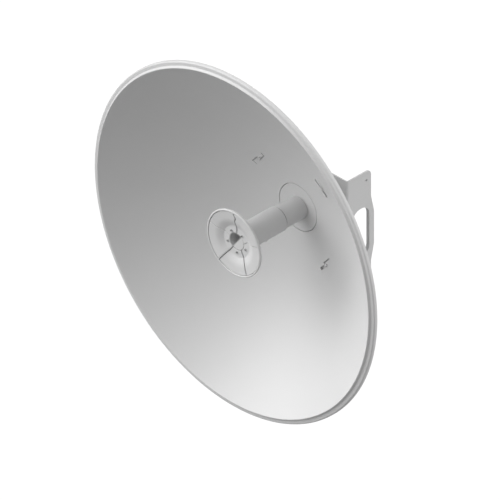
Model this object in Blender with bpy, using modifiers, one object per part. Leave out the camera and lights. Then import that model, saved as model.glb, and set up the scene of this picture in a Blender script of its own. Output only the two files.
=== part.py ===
"""Dish antenna: a 650 mm pressed reflector with its feed, splash plate and folded rear mount.

Metres, +Z up, the dish faces -Y. The origin is the middle of the pole bracket's flat rear face.
Everything is laid out about the dish's vertex, on an empty that stands in front of the origin.
In the sizes below, FRONT counts forward from the vertex and BACK counts behind it.
"""

import math

import bmesh
import bpy
from mathutils import Euler, Matrix

# Reflector
DISH_RADIUS = 0.325
LIP_RADIUS = 0.3134
DISH_DEPTH = 0.1545
SHEET = 0.002
FLANGE_DROP = 0.003
ROLL_RADIUS = 0.003
ROLL_DEPTH = 0.0105
LIP_CREST = ((0.0008, 0.0002), (0.0020, -0.0006))
LIP_FOOT = 0.0042
CENTRE_HOLE_RADIUS = 0.0434
DISH_STEPS = 72
CURVE_POINTS = 14

# Cranked slots in the bowl, seen with the axis below them: a low left leg and a high right leg
SLOT_RADIUS = 0.1027
SLOT_ANGLE = math.radians(48.5)
SLOT_LEFT = -0.0155
SLOT_RIGHT = 0.0175
SLOT_STEP_LEFT = 0.0010
SLOT_STEP_RIGHT = 0.0050
SLOT_LOW_LEG = (-0.0036, -0.0010)
SLOT_HIGH_LEG = (0.0004, 0.0054)
SLOT_SIGNS = (1, -1, -1, 1)

# Hooks of the rear frame, which reach through the slots, each on a strip behind the web whose inner
# part is bent back to clear the bowl
HOOK_SHEET = 0.002
HOOK_LIP = 0.0014
HOOK_REACH = {1: (0.0010, 0.0048), -1: (-0.0030, 0.0008)}
HOOK_STEM = (0.0014, 0.0034)
HOOK_TIP = -0.0035
HOOK_STRIP_OUTER = 0.022
HOOK_STRIP_INNER = 0.0147
HOOK_STRIP_DROP = 0.0047
HOOK_STRIP_SIDES = (-0.022, 0.024)
FACET_ALLOWANCE = 0.0003

# Hub and feed
HUB_RADIUS = 0.0429
HUB_BOSS_RADIUS = 0.0355
HUB_BOSS_BACK = 0.008
SLEEVE_RADIUS = 0.0205
TUBE_RADIUS = 0.0225
TUBE_WALL = 0.003
JOINT_FRONT = 0.0488
JOINT_RING = 0.0013
JOINT_PROUD = 0.0006
FEED_STEPS = 36

# Splash plate: its face from the mouth outwards, as (radius, forward) points
SPLASH_RADIUS = 0.0618
SPLASH_FRONT = 0.1535
SPLASH_BOWL = (
    (0.0162, 0.1452),
    (0.0290, 0.1452),
    (0.0305, 0.1457),
    (0.0400, 0.1502),
    (0.0430, 0.1509),
    (0.0582, 0.1525),
)
SPLASH_SEAT_DEPTH = 0.0042
SPLASH_NECK = 0.0280
SPLASH_SKIN = 0.0042
SEGMENT_THICKNESS = 0.0025
SEGMENTS = 5
SPLASH_STEPS = 50
SEAM_REACH = (0.004, 0.070)
WEDGE_THICKNESS = 0.04
SEAM_ANGLE = math.radians(16.5)
SCREW_CIRCLE = 0.0210
SCREW_RADIUS = 0.0019
SCREW_HEIGHT = 0.0012
BORE_RADIUS = 0.0162
BORE_DEPTH = 0.018
BORE_WALL = 0.0015
SEPTUM_SHEET = 0.0008
SEPTUM_RECESS = 0.0006
LEDGE_OFFSET = 0.0008
LEDGE_DIRECTION = math.radians(-36)
LEDGE_RECESS = 0.0004

# Bead round the splash plate and the edge of its body, as (inwards from SPLASH_RADIUS, height):
# the crest counts back from SPLASH_FRONT, the foot forward and the body's edge back from the seat
BEAD_CREST = ((0.0032, 0.0014), (0.0024, 0.0), (0.0010, 0.0003), (0.0, 0.0020))
BEAD_FOOT = ((0.0, 0.0012), (0.0008, 0.0003), (0.0032, 0.0003))
BODY_EDGE = ((0.0006, 0.0), (0.0006, 0.0008), (0.0040, 0.0028))

# Rear frame, folded from one sheet
FRAME_SHEET = 0.0025
FRAME_HALF_HEIGHT = 0.117
FRAME_HALF_WIDTH = 0.1275
FOLD_RADIUS = 0.0045
WEB_OPENING = 0.1115
WING_BACK = 0.039
WING_BULGE = 0.046
WING_CORNER = 0.010
BULGE_OUTER = 0.064
BULGE_INNER = 0.032
WINDOW_HALF_HEIGHT = 0.049
WINDOW_FRONT_END = -0.004
WINDOW_BACK_END = 0.035
WINDOW_CORNER = 0.018
WINDOW_LIP = 0.007
LIP_SHEET = 0.002
WING_HOLE_RADIUS = 0.0027
WING_HOLE_BACK = 0.028
WING_HOLE_HEIGHT = 0.099

# Cross channels between the wings
CHANNEL_LOW = 0.052
CHANNEL_HIGH = 0.074
CHANNEL_DEPTH = 0.020
CHANNEL_SHEET = 0.0025

# Tilt cheeks, with each corner as (back, up, radius), and pole bracket
CHEEK_GAP = 0.046
CHEEK_SHEET = 0.003
CHEEK_TOP = (0.030, CHANNEL_HIGH, 0.004)
CHEEK_WAIST = (0.054, 0.0, 0.020)
CHEEK_SHOULDER = (0.069, -0.034, 0.006)
CHEEK_HEEL = (0.069, -0.098, 0.008)
CHEEK_TOE = (0.046, -0.098, 0.006)
CHEEK_NOTCH = ((0.036, -0.040, 0.006), (0.036, 0.040, 0.006))
BRACKET_BACK = 0.072
BRACKET_TOP = -0.026
BRACKET_BOTTOM = -0.100
BRACKET_FRONT = 0.040
BRACKET_SHEET = 0.003
POLE_HOLE_RADIUS = 0.0045
POLE_HOLE_SPREAD = (0.030, 0.026)
BOLT_BACK = 0.056
PIVOT_HEIGHT = -0.040
LOCK_HEIGHT = -0.084
BOLT_RADIUS = 0.004
BOLT_HEAD_RADIUS = 0.0075
BOLT_HEAD_HEIGHT = 0.0053
BOLT_TAIL = 0.003
NUT_HEIGHT = 0.0065
SHANK_OVERLAP = 0.002
POLE_DRILL = 0.02
BOLT_DRILL = 0.12

# Feed housing behind the dish
HOUSING_RADIUS = 0.030
HOUSING_BACK = 0.038
HOUSING_CHAMFER = 0.004
CLAMP_RADIUS = 0.050
CLAMP_SHOULDER = 0.005
CLAMP_CHAMFER = 0.003
CONNECTOR_SPREAD = 0.013
CONNECTOR_LENGTH = 0.017
CONNECTOR_RADIUS = 0.006
CONNECTOR_HEX_RADIUS = 0.008
CONNECTOR_HEX = 0.0035

GAP = 0.0003
AXIS_RISE = -(BRACKET_TOP + BRACKET_BOTTOM) / 2
FOCAL_LENGTH = LIP_RADIUS**2 / (4 * DISH_DEPTH)
WEB_BACK = -(WEB_OPENING**2) / (4 * FOCAL_LENGTH) + SHEET + 2 * GAP
FACE_FRONT = (math.pi / 2, 0, 0)
FACE_SIDE = (math.pi / 2, 0, math.pi / 2)


def clear_scene():
    for old in list(bpy.data.objects):
        bpy.data.objects.remove(old, do_unlink=True)


def make_collection(name):
    collection = bpy.data.collections.new(name)
    bpy.context.scene.collection.children.link(collection)
    return collection


def make_material(name, colour, roughness, metallic=0.0):
    material = bpy.data.materials.new(name)
    material.use_nodes = True
    shader = material.node_tree.nodes["Principled BSDF"]
    shader.inputs["Base Color"].default_value = (*colour, 1.0)
    shader.inputs["Roughness"].default_value = roughness
    shader.inputs["Metallic"].default_value = metallic
    return material


class Assembly:
    """Places each finished piece on the empty at the dish's vertex."""

    def __init__(self, name):
        self.parts = make_collection(name)
        self.cutters = make_collection(name + "_cutters")
        self.vertex = bpy.data.objects.new("dish_vertex", None)
        self.vertex.location = (0, -BRACKET_BACK, AXIS_RISE)
        self.parts.objects.link(self.vertex)

    def add(self, name, data, material, location=(0, 0, 0), rotation=(0, 0, 0)):
        obj = bpy.data.objects.new(name, data)
        obj.location = location
        obj.rotation_euler = rotation
        obj.parent = self.vertex
        data.materials.clear()
        data.materials.append(material)
        self.parts.objects.link(obj)
        return obj

    def make_cutter(self, obj):
        self.parts.objects.unlink(obj)
        self.cutters.objects.link(obj)
        obj.hide_render = True
        obj.display_type = "WIRE"
        return obj


def clockwise(outline):
    """The outline in the order that a Screw modifier turns into outward faces."""
    pairs = zip(outline, outline[1:] + outline[:1])
    area = sum(a[0] * b[1] - b[0] * a[1] for a, b in pairs)
    return outline if area < 0 else outline[::-1]


def turned(assembly, name, outline, material, steps=FEED_STEPS):
    """A solid turned about the dish's axis from (radius, forward) points."""
    outline = clockwise(outline)
    on_axis = [index for index, point in enumerate(outline) if point[0] == 0]
    if on_axis:
        start = next(i for i in on_axis if outline[i - 1][0] == 0)
        outline = outline[start:] + outline[:start]
    mesh = bpy.data.meshes.new(name)
    last = len(outline) - 1
    edges = [(i, i + 1) for i in range(last)]
    if not on_axis:
        edges.append((last, 0))
    mesh.from_pydata([(r, 0, z) for r, z in outline], edges, [])
    obj = assembly.add(name, mesh, material, rotation=FACE_FRONT)
    screw = obj.modifiers.new("turn", "SCREW")
    screw.steps = steps
    screw.render_steps = steps
    screw.use_merge_vertices = True
    screw.merge_threshold = 0.0001
    screw.use_smooth_shade = True
    return obj


def rounded(corners, steps=5):
    """A closed outline from (x, y, radius) corners, each rounded by an arc."""
    points = []
    count = len(corners)
    for index, (x, y, radius) in enumerate(corners):
        if radius == 0:
            points.append((x, y))
            continue
        before = corners[index - 1]
        after = corners[(index + 1) % count]
        back = math.atan2(before[1] - y, before[0] - x)
        ahead = math.atan2(after[1] - y, after[0] - x)
        turn = (ahead - back + math.pi) % (2 * math.pi) - math.pi
        reach = radius / abs(math.sin(turn / 2))
        middle = back + turn / 2
        centre = (x + reach * math.cos(middle), y + reach * math.sin(middle))
        sweep = math.copysign(math.pi - abs(turn), -turn)
        start = back - math.copysign(math.pi / 2, turn)
        for step in range(steps + 1):
            angle = start + sweep * step / steps
            points.append((centre[0] + radius * math.cos(angle), centre[1] + radius * math.sin(angle)))
    return points


def circle(x, y, radius, steps=16):
    angles = [2 * math.pi * step / steps for step in range(steps)]
    return [(x + radius * math.cos(angle), y + radius * math.sin(angle)) for angle in angles]


def plate(assembly, name, outlines, thickness, material, location, rotation):
    """A flat plate from closed outlines, the first one outside and the rest holes, made a mesh."""
    curve = bpy.data.curves.new(name + "_outline", "CURVE")
    curve.dimensions = "2D"
    curve.fill_mode = "BOTH"
    curve.extrude = thickness / 2
    for outline in outlines:
        spline = curve.splines.new("POLY")
        spline.points.add(len(outline) - 1)
        for point, (x, y) in zip(spline.points, outline):
            point.co = (x, y, 0, 1)
        spline.use_cyclic_u = True
    guide = bpy.data.objects.new(name + "_guide", curve)
    assembly.parts.objects.link(guide)
    bpy.context.view_layer.update()
    evaluated = guide.evaluated_get(bpy.context.evaluated_depsgraph_get())
    mesh = bpy.data.meshes.new_from_object(evaluated)
    bpy.data.objects.remove(guide, do_unlink=True)
    bpy.data.curves.remove(curve)
    work = bmesh.new()
    work.from_mesh(mesh)
    bmesh.ops.remove_doubles(work, verts=work.verts, dist=0.00001)
    bmesh.ops.recalc_face_normals(work, faces=work.faces)
    work.to_mesh(mesh)
    work.free()
    mesh.name = name
    return assembly.add(name, mesh, material, location, rotation)


def cylinder(assembly, name, radius, length, material, location, rotation, sides=24):
    mesh = bpy.data.meshes.new(name)
    work = bmesh.new()
    bmesh.ops.create_cone(
        work, cap_ends=True, segments=sides, radius1=radius, radius2=radius, depth=length
    )
    work.to_mesh(mesh)
    work.free()
    return assembly.add(name, mesh, material, location, rotation)


def block(assembly, name, low, high, material, rotation=(0, 0, 0)):
    """A box between two opposite corners."""
    mesh = bpy.data.meshes.new(name)
    work = bmesh.new()
    bmesh.ops.create_cube(work, size=1.0)
    for vert in work.verts:
        vert.co = [far if side > 0 else near for near, far, side in zip(low, high, vert.co)]
    work.to_mesh(mesh)
    work.free()
    return assembly.add(name, mesh, material, rotation=rotation)


def combine(obj, other, operation):
    modifier = obj.modifiers.new(operation.lower(), "BOOLEAN")
    modifier.operation = operation
    modifier.solver = "EXACT"
    modifier.object = other


def bowl_front(radius):
    """How far the bowl's front surface lies forward of the vertex."""
    return radius**2 / (4 * FOCAL_LENGTH)


def reflector(assembly, material):
    """Pressed bowl: paraboloid, sharp lip, flange set back from it, and a rolled edge."""
    span = LIP_RADIUS - CENTRE_HOLE_RADIUS
    radii = [CENTRE_HOLE_RADIUS + span * i / CURVE_POINTS for i in range(CURVE_POINTS + 1)]
    front = [(radius, bowl_front(radius)) for radius in radii]
    back = []
    for radius in radii:
        slope = math.atan(radius / (2 * FOCAL_LENGTH))
        moved = (radius + SHEET * math.sin(slope), bowl_front(radius) - SHEET * math.cos(slope))
        if moved[1] < DISH_DEPTH - FLANGE_DROP - SHEET:
            back.append(moved)
    flange_front = DISH_DEPTH - FLANGE_DROP
    lip = [(LIP_RADIUS + out, DISH_DEPTH + forward) for out, forward in LIP_CREST]
    lip.append((LIP_RADIUS + LIP_FOOT, flange_front))
    roll_centre = (DISH_RADIUS - ROLL_RADIUS, flange_front - ROLL_RADIUS)
    roll = []
    for step in range(5):
        angle = math.pi / 2 * (1 - step / 4)
        roll.append(
            (
                roll_centre[0] + ROLL_RADIUS * math.cos(angle),
                roll_centre[1] + ROLL_RADIUS * math.sin(angle),
            )
        )
    edge = [
        (DISH_RADIUS, DISH_DEPTH - ROLL_DEPTH),
        (DISH_RADIUS - SHEET, DISH_DEPTH - ROLL_DEPTH),
        (DISH_RADIUS - SHEET, flange_front - ROLL_RADIUS),
        (DISH_RADIUS - ROLL_RADIUS, flange_front - SHEET),
    ]
    outline = front + lip + roll + edge + back[::-1]
    bowl = turned(assembly, "reflector", outline, material, DISH_STEPS)
    for number, sign in enumerate(SLOT_SIGNS):
        combine(bowl, slot_cutter(assembly, number, sign, material), "DIFFERENCE")
    return bowl


def slot_turn(number):
    """Rotation that points local x clockwise along a slot, y outwards and z forward."""
    return (math.pi / 2, math.pi / 2 - SLOT_ANGLE - number * math.pi / 2, 0)


def slot_cutter(assembly, number, sign, material):
    """Cranked prism along the dish's axis; sign -1 swaps its low and high legs."""
    outline = [
        (SLOT_LEFT, SLOT_LOW_LEG[0]),
        (SLOT_STEP_RIGHT, SLOT_LOW_LEG[0]),
        (SLOT_STEP_RIGHT, SLOT_HIGH_LEG[0]),
        (SLOT_RIGHT, SLOT_HIGH_LEG[0]),
        (SLOT_RIGHT, SLOT_HIGH_LEG[1]),
        (SLOT_STEP_LEFT, SLOT_HIGH_LEG[1]),
        (SLOT_STEP_LEFT, SLOT_LOW_LEG[1]),
        (SLOT_LEFT, SLOT_LOW_LEG[1]),
    ]
    outline = [(x, SLOT_RADIUS + sign * y) for x, y in outline]
    cutter = plate(
        assembly, f"slot_cutter_{number + 1}", [outline], 4 * bowl_front(SLOT_RADIUS), material,
        (0, 0, 0), slot_turn(number),
    )
    return assembly.make_cutter(cutter)


def hub_and_feed(assembly, materials):
    """Flush hub plate, two-part feed tube with the joint ring, and the clamp and housing behind."""
    grey = materials["feed_plastic"]
    steps = 6
    face = [(HUB_RADIUS * i / steps, bowl_front(HUB_RADIUS * i / steps)) for i in range(steps + 1)]
    back = [
        (HUB_RADIUS, -SHEET),
        (HUB_BOSS_RADIUS, -SHEET),
        (HUB_BOSS_RADIUS, -HUB_BOSS_BACK),
        (0, -HUB_BOSS_BACK),
    ]
    turned(assembly, "hub_flange", face + back, materials["hub_paint"])
    tube(assembly, "feed_sleeve", SLEEVE_RADIUS, bowl_front(SLEEVE_RADIUS) + GAP, JOINT_FRONT, grey)
    ring_front = JOINT_FRONT + GAP + JOINT_RING
    tube(
        assembly, "feed_joint_ring", SLEEVE_RADIUS + JOINT_PROUD, JOINT_FRONT + GAP, ring_front,
        materials["seal"],
    )
    tube(
        assembly, "feed_tube", TUBE_RADIUS, ring_front + GAP, splash_seat() - GAP, grey
    )
    inner = HUB_BOSS_RADIUS + GAP
    step = CENTRE_HOLE_RADIUS + GAP
    seat = bowl_front(CENTRE_HOLE_RADIUS) - SHEET - 2 * GAP
    clamp_back = -HUB_BOSS_BACK + GAP
    clamp = [
        (inner, -SHEET - GAP),
        (step, -SHEET - GAP),
        (step, seat),
        (CLAMP_RADIUS, seat),
        (CLAMP_RADIUS, -CLAMP_SHOULDER),
        (CLAMP_RADIUS - CLAMP_CHAMFER, clamp_back),
        (inner, clamp_back),
    ]
    turned(assembly, "hub_clamp_ring", clamp, materials["cast"])
    front = -HUB_BOSS_BACK - GAP
    housing = [
        (0, front),
        (HOUSING_RADIUS, front),
        (HOUSING_RADIUS, -HOUSING_BACK + HOUSING_CHAMFER),
        (HOUSING_RADIUS - HOUSING_CHAMFER, -HOUSING_BACK),
        (0, -HOUSING_BACK),
    ]
    turned(assembly, "feed_housing", housing, materials["housing_plastic"])
    for side, name in ((-1, "left"), (1, "right")):
        connector(assembly, name, side * CONNECTOR_SPREAD, materials["brass"])


def tube(assembly, name, radius, rear, front, material):
    inner = SLEEVE_RADIUS - TUBE_WALL
    outline = [(inner, rear), (inner, front), (radius, front), (radius, rear)]
    return turned(assembly, name, outline, material)


def connector(assembly, name, offset, material):
    """A coaxial socket: hex base and round threaded barrel, in one turned-and-joined solid."""
    place = (offset, HOUSING_BACK + GAP + CONNECTOR_HEX / 2, 0)
    body = cylinder(
        assembly, "rf_connector_" + name, CONNECTOR_HEX_RADIUS, CONNECTOR_HEX, material, place,
        FACE_FRONT, 6,
    )
    barrel_place = (offset, HOUSING_BACK + GAP + CONNECTOR_LENGTH / 2, 0)
    barrel = cylinder(
        assembly, "barrel_" + name, CONNECTOR_RADIUS, CONNECTOR_LENGTH, material, barrel_place,
        FACE_FRONT,
    )
    combine(body, assembly.make_cutter(barrel), "UNION")


def splash_seat():
    """Forward place of the splash body's rear face, where the feed tube ends."""
    return SPLASH_BOWL[0][1] - SEGMENT_THICKNESS - GAP - SPLASH_SEAT_DEPTH


def splash_plate(assembly, materials):
    """Small reflector: turned body, bead round its rim, and five segments on its face."""
    pale = materials["splash_plastic"]
    seat = [(radius, front - SEGMENT_THICKNESS - GAP) for radius, front in SPLASH_BOWL]
    rim_back = seat[-1][1]
    edge = [(SPLASH_RADIUS - inwards, rim_back - back) for inwards, back in BODY_EDGE]
    rear = [
        (SPLASH_BOWL[4][0], seat[4][1] - SPLASH_SKIN),
        (SPLASH_NECK, splash_seat()),
        (BORE_RADIUS, splash_seat()),
    ]
    turned(assembly, "splash_body", seat + edge + rear, pale)
    crest = [(SPLASH_RADIUS - inwards, SPLASH_FRONT - back) for inwards, back in BEAD_CREST]
    foot = [(SPLASH_RADIUS - inwards, rim_back + forward) for inwards, forward in BEAD_FOOT]
    turned(assembly, "splash_rim", crest + foot, pale, SPLASH_STEPS)
    for number in range(SEGMENTS):
        splash_segment(assembly, number, pale)
        screw(assembly, number, materials["steel"])
    bore(assembly, materials)


def splash_segment(assembly, number, material):
    """One fifth of the face: the turned ring cut down to the wedge between two seams."""
    back = [(radius, front - SEGMENT_THICKNESS) for radius, front in SPLASH_BOWL]
    segment = turned(
        assembly, f"splash_segment_{number + 1}", list(SPLASH_BOWL) + back[::-1], material, SPLASH_STEPS
    )
    start = SEAM_ANGLE + number * 2 * math.pi / SEGMENTS
    wedge = seam(start, GAP / 2) + seam(start + 2 * math.pi / SEGMENTS, -GAP / 2)[::-1]
    cutter = plate(
        assembly, f"wedge_{number + 1}", [wedge], WEDGE_THICKNESS, material,
        (0, -SPLASH_BOWL[0][1], 0), FACE_FRONT,
    )
    combine(segment, assembly.make_cutter(cutter), "INTERSECT")


def seam(angle, shift):
    """Points along a seam, moved sideways by shift, from near the axis to past the rim."""
    along = (math.cos(angle), math.sin(angle))
    across = (-along[1], along[0])
    points = []
    for radius in SEAM_REACH:
        points.append(
            (radius * along[0] + shift * across[0], radius * along[1] + shift * across[1])
        )
    return points


def screw(assembly, number, material):
    """A low round screw head on the hub ring, in the middle of its segment."""
    angle = SEAM_ANGLE + (number + 0.5) * 2 * math.pi / SEGMENTS
    place = (
        SCREW_CIRCLE * math.cos(angle),
        -SPLASH_BOWL[0][1] - GAP - SCREW_HEIGHT / 2,
        SCREW_CIRCLE * math.sin(angle),
    )
    name = f"splash_screw_{number + 1}"
    cylinder(assembly, name, SCREW_RADIUS, SCREW_HEIGHT, material, place, FACE_FRONT, 16)


def bore(assembly, materials):
    """The cup that closes the feed's mouth, the thin wall across it and the raised step beside it."""
    front = SPLASH_BOWL[0][1] - GAP
    outer = BORE_RADIUS - GAP
    inner = outer - BORE_WALL
    cup = [
        (0, front - BORE_DEPTH),
        (outer, front - BORE_DEPTH),
        (outer, front),
        (inner, front),
        (inner, front - BORE_DEPTH + BORE_WALL),
        (0, front - BORE_DEPTH + BORE_WALL),
    ]
    turned(assembly, "bore_liner", cup, materials["bore_plastic"])
    radius = inner - 2 * GAP
    half = math.acos(LEDGE_OFFSET / radius)
    steps = 16
    angles = [LEDGE_DIRECTION - half + 2 * half * step / steps for step in range(steps + 1)]
    outline = [(radius * math.cos(angle), radius * math.sin(angle)) for angle in angles]
    floor = front - BORE_DEPTH + BORE_WALL + GAP
    top = front - LEDGE_RECESS
    plate(
        assembly, "bore_ledge", [outline], top - floor, materials["splash_plastic"],
        (0, -(top + floor) / 2, 0), FACE_FRONT,
    )
    block(
        assembly, "bore_septum", (-SEPTUM_SHEET / 2, -radius, floor),
        (SEPTUM_SHEET / 2, radius, front - SEPTUM_RECESS), materials["splash_plastic"],
        (math.pi / 2, -LEDGE_DIRECTION, 0),
    )


def rear_frame(assembly, materials):
    """Web with a round opening that the bowl's back sits in, and a wing on each side."""
    grey = materials["frame_paint"]
    flat = FRAME_HALF_WIDTH - FOLD_RADIUS - GAP
    high = FRAME_HALF_HEIGHT
    outline = [(-flat, -high), (flat, -high), (flat, high), (-flat, high)]
    plate(
        assembly, "frame_web", [outline, circle(0, 0, WEB_OPENING, 64)], FRAME_SHEET, grey,
        (0, WEB_BACK + FRAME_SHEET / 2, 0), FACE_FRONT,
    )
    for side, name in ((-1, "left"), (1, "right")):
        wing(assembly, name, side, grey)
    for number, sign in enumerate(SLOT_SIGNS):
        hook(assembly, number, sign, grey)


def window_outline(grow):
    """The window's outline in the wing's plane, moved outwards by grow."""
    low = WINDOW_FRONT_END - grow
    high = WINDOW_BACK_END + grow
    tall = WINDOW_HALF_HEIGHT + grow
    corner = WINDOW_CORNER + grow
    corners = [(low, -tall), (high, -tall), (high, tall), (low, tall)]
    return rounded([(y, z, corner) for y, z in corners])


def wing(assembly, name, side, material):
    """Side plate with its window, the lip turned in round the window, and the fold to the web."""
    start = WEB_BACK + FOLD_RADIUS
    high = FRAME_HALF_HEIGHT
    outline = rounded(
        [
            (start, -high, 0),
            (WING_BACK, -high, WING_CORNER),
            (WING_BACK, -BULGE_OUTER, 0),
            (WING_BULGE, -BULGE_INNER, 0),
            (WING_BULGE, BULGE_INNER, 0),
            (WING_BACK, BULGE_OUTER, 0),
            (WING_BACK, high, WING_CORNER),
            (start, high, 0),
        ]
    )
    holes = [circle(WING_HOLE_BACK, z, WING_HOLE_RADIUS) for z in (-WING_HOLE_HEIGHT, WING_HOLE_HEIGHT)]
    middle = side * (FRAME_HALF_WIDTH - FRAME_SHEET / 2)
    body = plate(
        assembly, "frame_wing_" + name, [outline, window_outline(0)] + holes, FRAME_SHEET,
        material, (middle, 0, 0), FACE_SIDE,
    )
    overlap = FRAME_SHEET / 2
    lip_width = WINDOW_LIP - overlap
    lip = plate(
        assembly, "window_lip_" + name, [window_outline(LIP_SHEET), window_outline(0)], lip_width,
        material, (side * (FRAME_HALF_WIDTH - overlap - lip_width / 2), 0, 0), FACE_SIDE,
    )
    combine(body, assembly.make_cutter(lip), "UNION")
    combine(body, fold(assembly, name, side, material), "UNION")


def fold(assembly, name, side, material):
    """Quarter ring that joins a wing to the web, a little way into the wing."""
    steps = 6
    inner = FOLD_RADIUS - FRAME_SHEET
    arc = [math.pi / 2 * step / steps for step in range(steps + 1)]
    outer_arc = [(FOLD_RADIUS * math.cos(a), -FOLD_RADIUS * math.sin(a)) for a in arc]
    inner_arc = [(inner * math.cos(a), -inner * math.sin(a)) for a in arc]
    tab = 0.001
    outline = [(inner, tab), (FOLD_RADIUS, tab)] + outer_arc + inner_arc[::-1]
    outline = [(side * x, y) for x, y in outline]
    centre = (side * (FRAME_HALF_WIDTH - FOLD_RADIUS), WEB_BACK + FOLD_RADIUS, 0)
    quarter = plate(
        assembly, "fold_" + name, [outline], 2 * FRAME_HALF_HEIGHT, material, centre, (0, 0, 0)
    )
    return assembly.make_cutter(quarter)


def hook(assembly, number, sign, material):
    """Bent strip on the web's back, with a stem through the slot and a lip laid over the bowl."""
    turn = slot_turn(number)
    near = SLOT_RADIUS + HOOK_REACH[sign][0]
    far = SLOT_RADIUS + HOOK_REACH[sign][1]
    foot_front = -(WEB_BACK + FRAME_SHEET + GAP)
    strip = hook_strip(assembly, number, foot_front, material)
    stem = block(
        assembly, f"hook_stem_{number + 1}", (HOOK_STEM[0], near, foot_front - HOOK_SHEET / 2),
        (HOOK_STEM[1], far, foot_front + HOOK_SHEET), material, turn,
    )
    lip = block(
        assembly, f"hook_lip_{number + 1}", (HOOK_TIP, near, 0), (HOOK_STEM[1], far, HOOK_LIP),
        material, turn,
    )

    def over_bowl(point):
        return bowl_front(math.hypot(point.x, point.y)) + GAP + FACET_ALLOWANCE

    for vertex in stem.data.vertices:
        if vertex.co.z > foot_front:
            vertex.co.z = over_bowl(vertex.co) + HOOK_LIP / 2
    for vertex in lip.data.vertices:
        vertex.co.z += over_bowl(vertex.co)
    combine(strip, assembly.make_cutter(stem), "UNION")
    combine(strip, assembly.make_cutter(lip), "UNION")


def hook_strip(assembly, number, front, material):
    """The strip: its section, as (outwards, forward), runs across the slot's length."""
    section = [
        (SLOT_RADIUS - HOOK_STRIP_INNER, front - HOOK_STRIP_DROP),
        (SLOT_RADIUS, front),
        (SLOT_RADIUS + HOOK_STRIP_OUTER, front),
    ]
    section += [(radius, forward - HOOK_SHEET) for radius, forward in section[::-1]]
    low, high = HOOK_STRIP_SIDES
    clockwise_way, outwards, forwards = Euler(slot_turn(number)).to_matrix().col
    turn = Matrix((outwards, forwards, clockwise_way)).transposed().to_euler()
    return plate(
        assembly, f"frame_hook_{number + 1}", [section], high - low, material,
        clockwise_way * (low + high) / 2, turn,
    )


def rear_mount(assembly, materials):
    """Cross channels, tilt cheeks, pole bracket, and the bolts that hold the tilt."""
    steel = materials["mount_steel"]
    half = FRAME_HALF_WIDTH - FRAME_SHEET - GAP
    low, high, deep, skin = CHANNEL_LOW, CHANNEL_HIGH, CHANNEL_DEPTH, CHANNEL_SHEET
    section = [
        (0, low), (deep, low), (deep, high), (0, high), (0, high - skin),
        (deep - skin, high - skin), (deep - skin, low + skin), (0, low + skin),
    ]
    for name, sign in (("upper", 1), ("lower", -1)):
        outline = [(y, sign * z) for y, z in section]
        plate(
            assembly, "cross_channel_" + name, [outline], 2 * half, steel, (0, 0, 0), FACE_SIDE
        )
    start = CHANNEL_DEPTH + GAP
    channel_ends = [(start, z, 0) for z in (-CHANNEL_HIGH, -CHANNEL_LOW)]
    upper_ends = [(start, z, 0) for z in (CHANNEL_LOW, CHANNEL_HIGH)]
    rear = [CHEEK_TOP, CHEEK_WAIST, CHEEK_SHOULDER, CHEEK_HEEL, CHEEK_TOE]
    cheek = rounded(upper_ends + rear + channel_ends + list(CHEEK_NOTCH))
    holes = [circle(BOLT_BACK, z, BOLT_RADIUS + GAP, 12) for z in (PIVOT_HEIGHT, LOCK_HEIGHT)]
    for name, side in (("left", -1), ("right", 1)):
        middle = side * (CHEEK_GAP + CHEEK_SHEET / 2)
        plate(
            assembly, "tilt_cheek_" + name, [cheek] + holes, CHEEK_SHEET, steel,
            (middle, 0, 0), FACE_SIDE,
        )
        for kind, height in (("pivot", PIVOT_HEIGHT), ("lock", LOCK_HEIGHT)):
            bolt_set(assembly, kind, name, side, height, materials["steel"])
    pole_bracket(assembly, steel)


def pole_bracket(assembly, material):
    """U bracket between the cheeks, with a flat rear face and four holes for a pole clamp."""
    outer = CHEEK_GAP - GAP
    inner = outer - BRACKET_SHEET
    section = [
        (-outer, BRACKET_FRONT), (-outer, BRACKET_BACK), (outer, BRACKET_BACK),
        (outer, BRACKET_FRONT), (inner, BRACKET_FRONT), (inner, BRACKET_BACK - BRACKET_SHEET),
        (-inner, BRACKET_BACK - BRACKET_SHEET), (-inner, BRACKET_FRONT),
    ]
    middle = (BRACKET_TOP + BRACKET_BOTTOM) / 2
    body = plate(
        assembly, "pole_bracket", [section], BRACKET_TOP - BRACKET_BOTTOM, material,
        (0, 0, middle), (0, 0, 0),
    )
    number = 0
    for x in (-POLE_HOLE_SPREAD[0], POLE_HOLE_SPREAD[0]):
        for z in (-POLE_HOLE_SPREAD[1], POLE_HOLE_SPREAD[1]):
            number += 1
            place = (x, BRACKET_BACK, middle + z)
            drill = cylinder(
                assembly, f"pole_hole_{number}", POLE_HOLE_RADIUS, POLE_DRILL, material, place,
                FACE_FRONT, 16,
            )
            combine(body, assembly.make_cutter(drill), "DIFFERENCE")
    for kind, height in (("pivot", PIVOT_HEIGHT), ("lock", LOCK_HEIGHT)):
        drill = cylinder(
            assembly, kind + "_hole", BOLT_RADIUS + GAP, BOLT_DRILL, material,
            (0, BOLT_BACK, height), FACE_SIDE, 12,
        )
        combine(body, assembly.make_cutter(drill), "DIFFERENCE")


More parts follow.
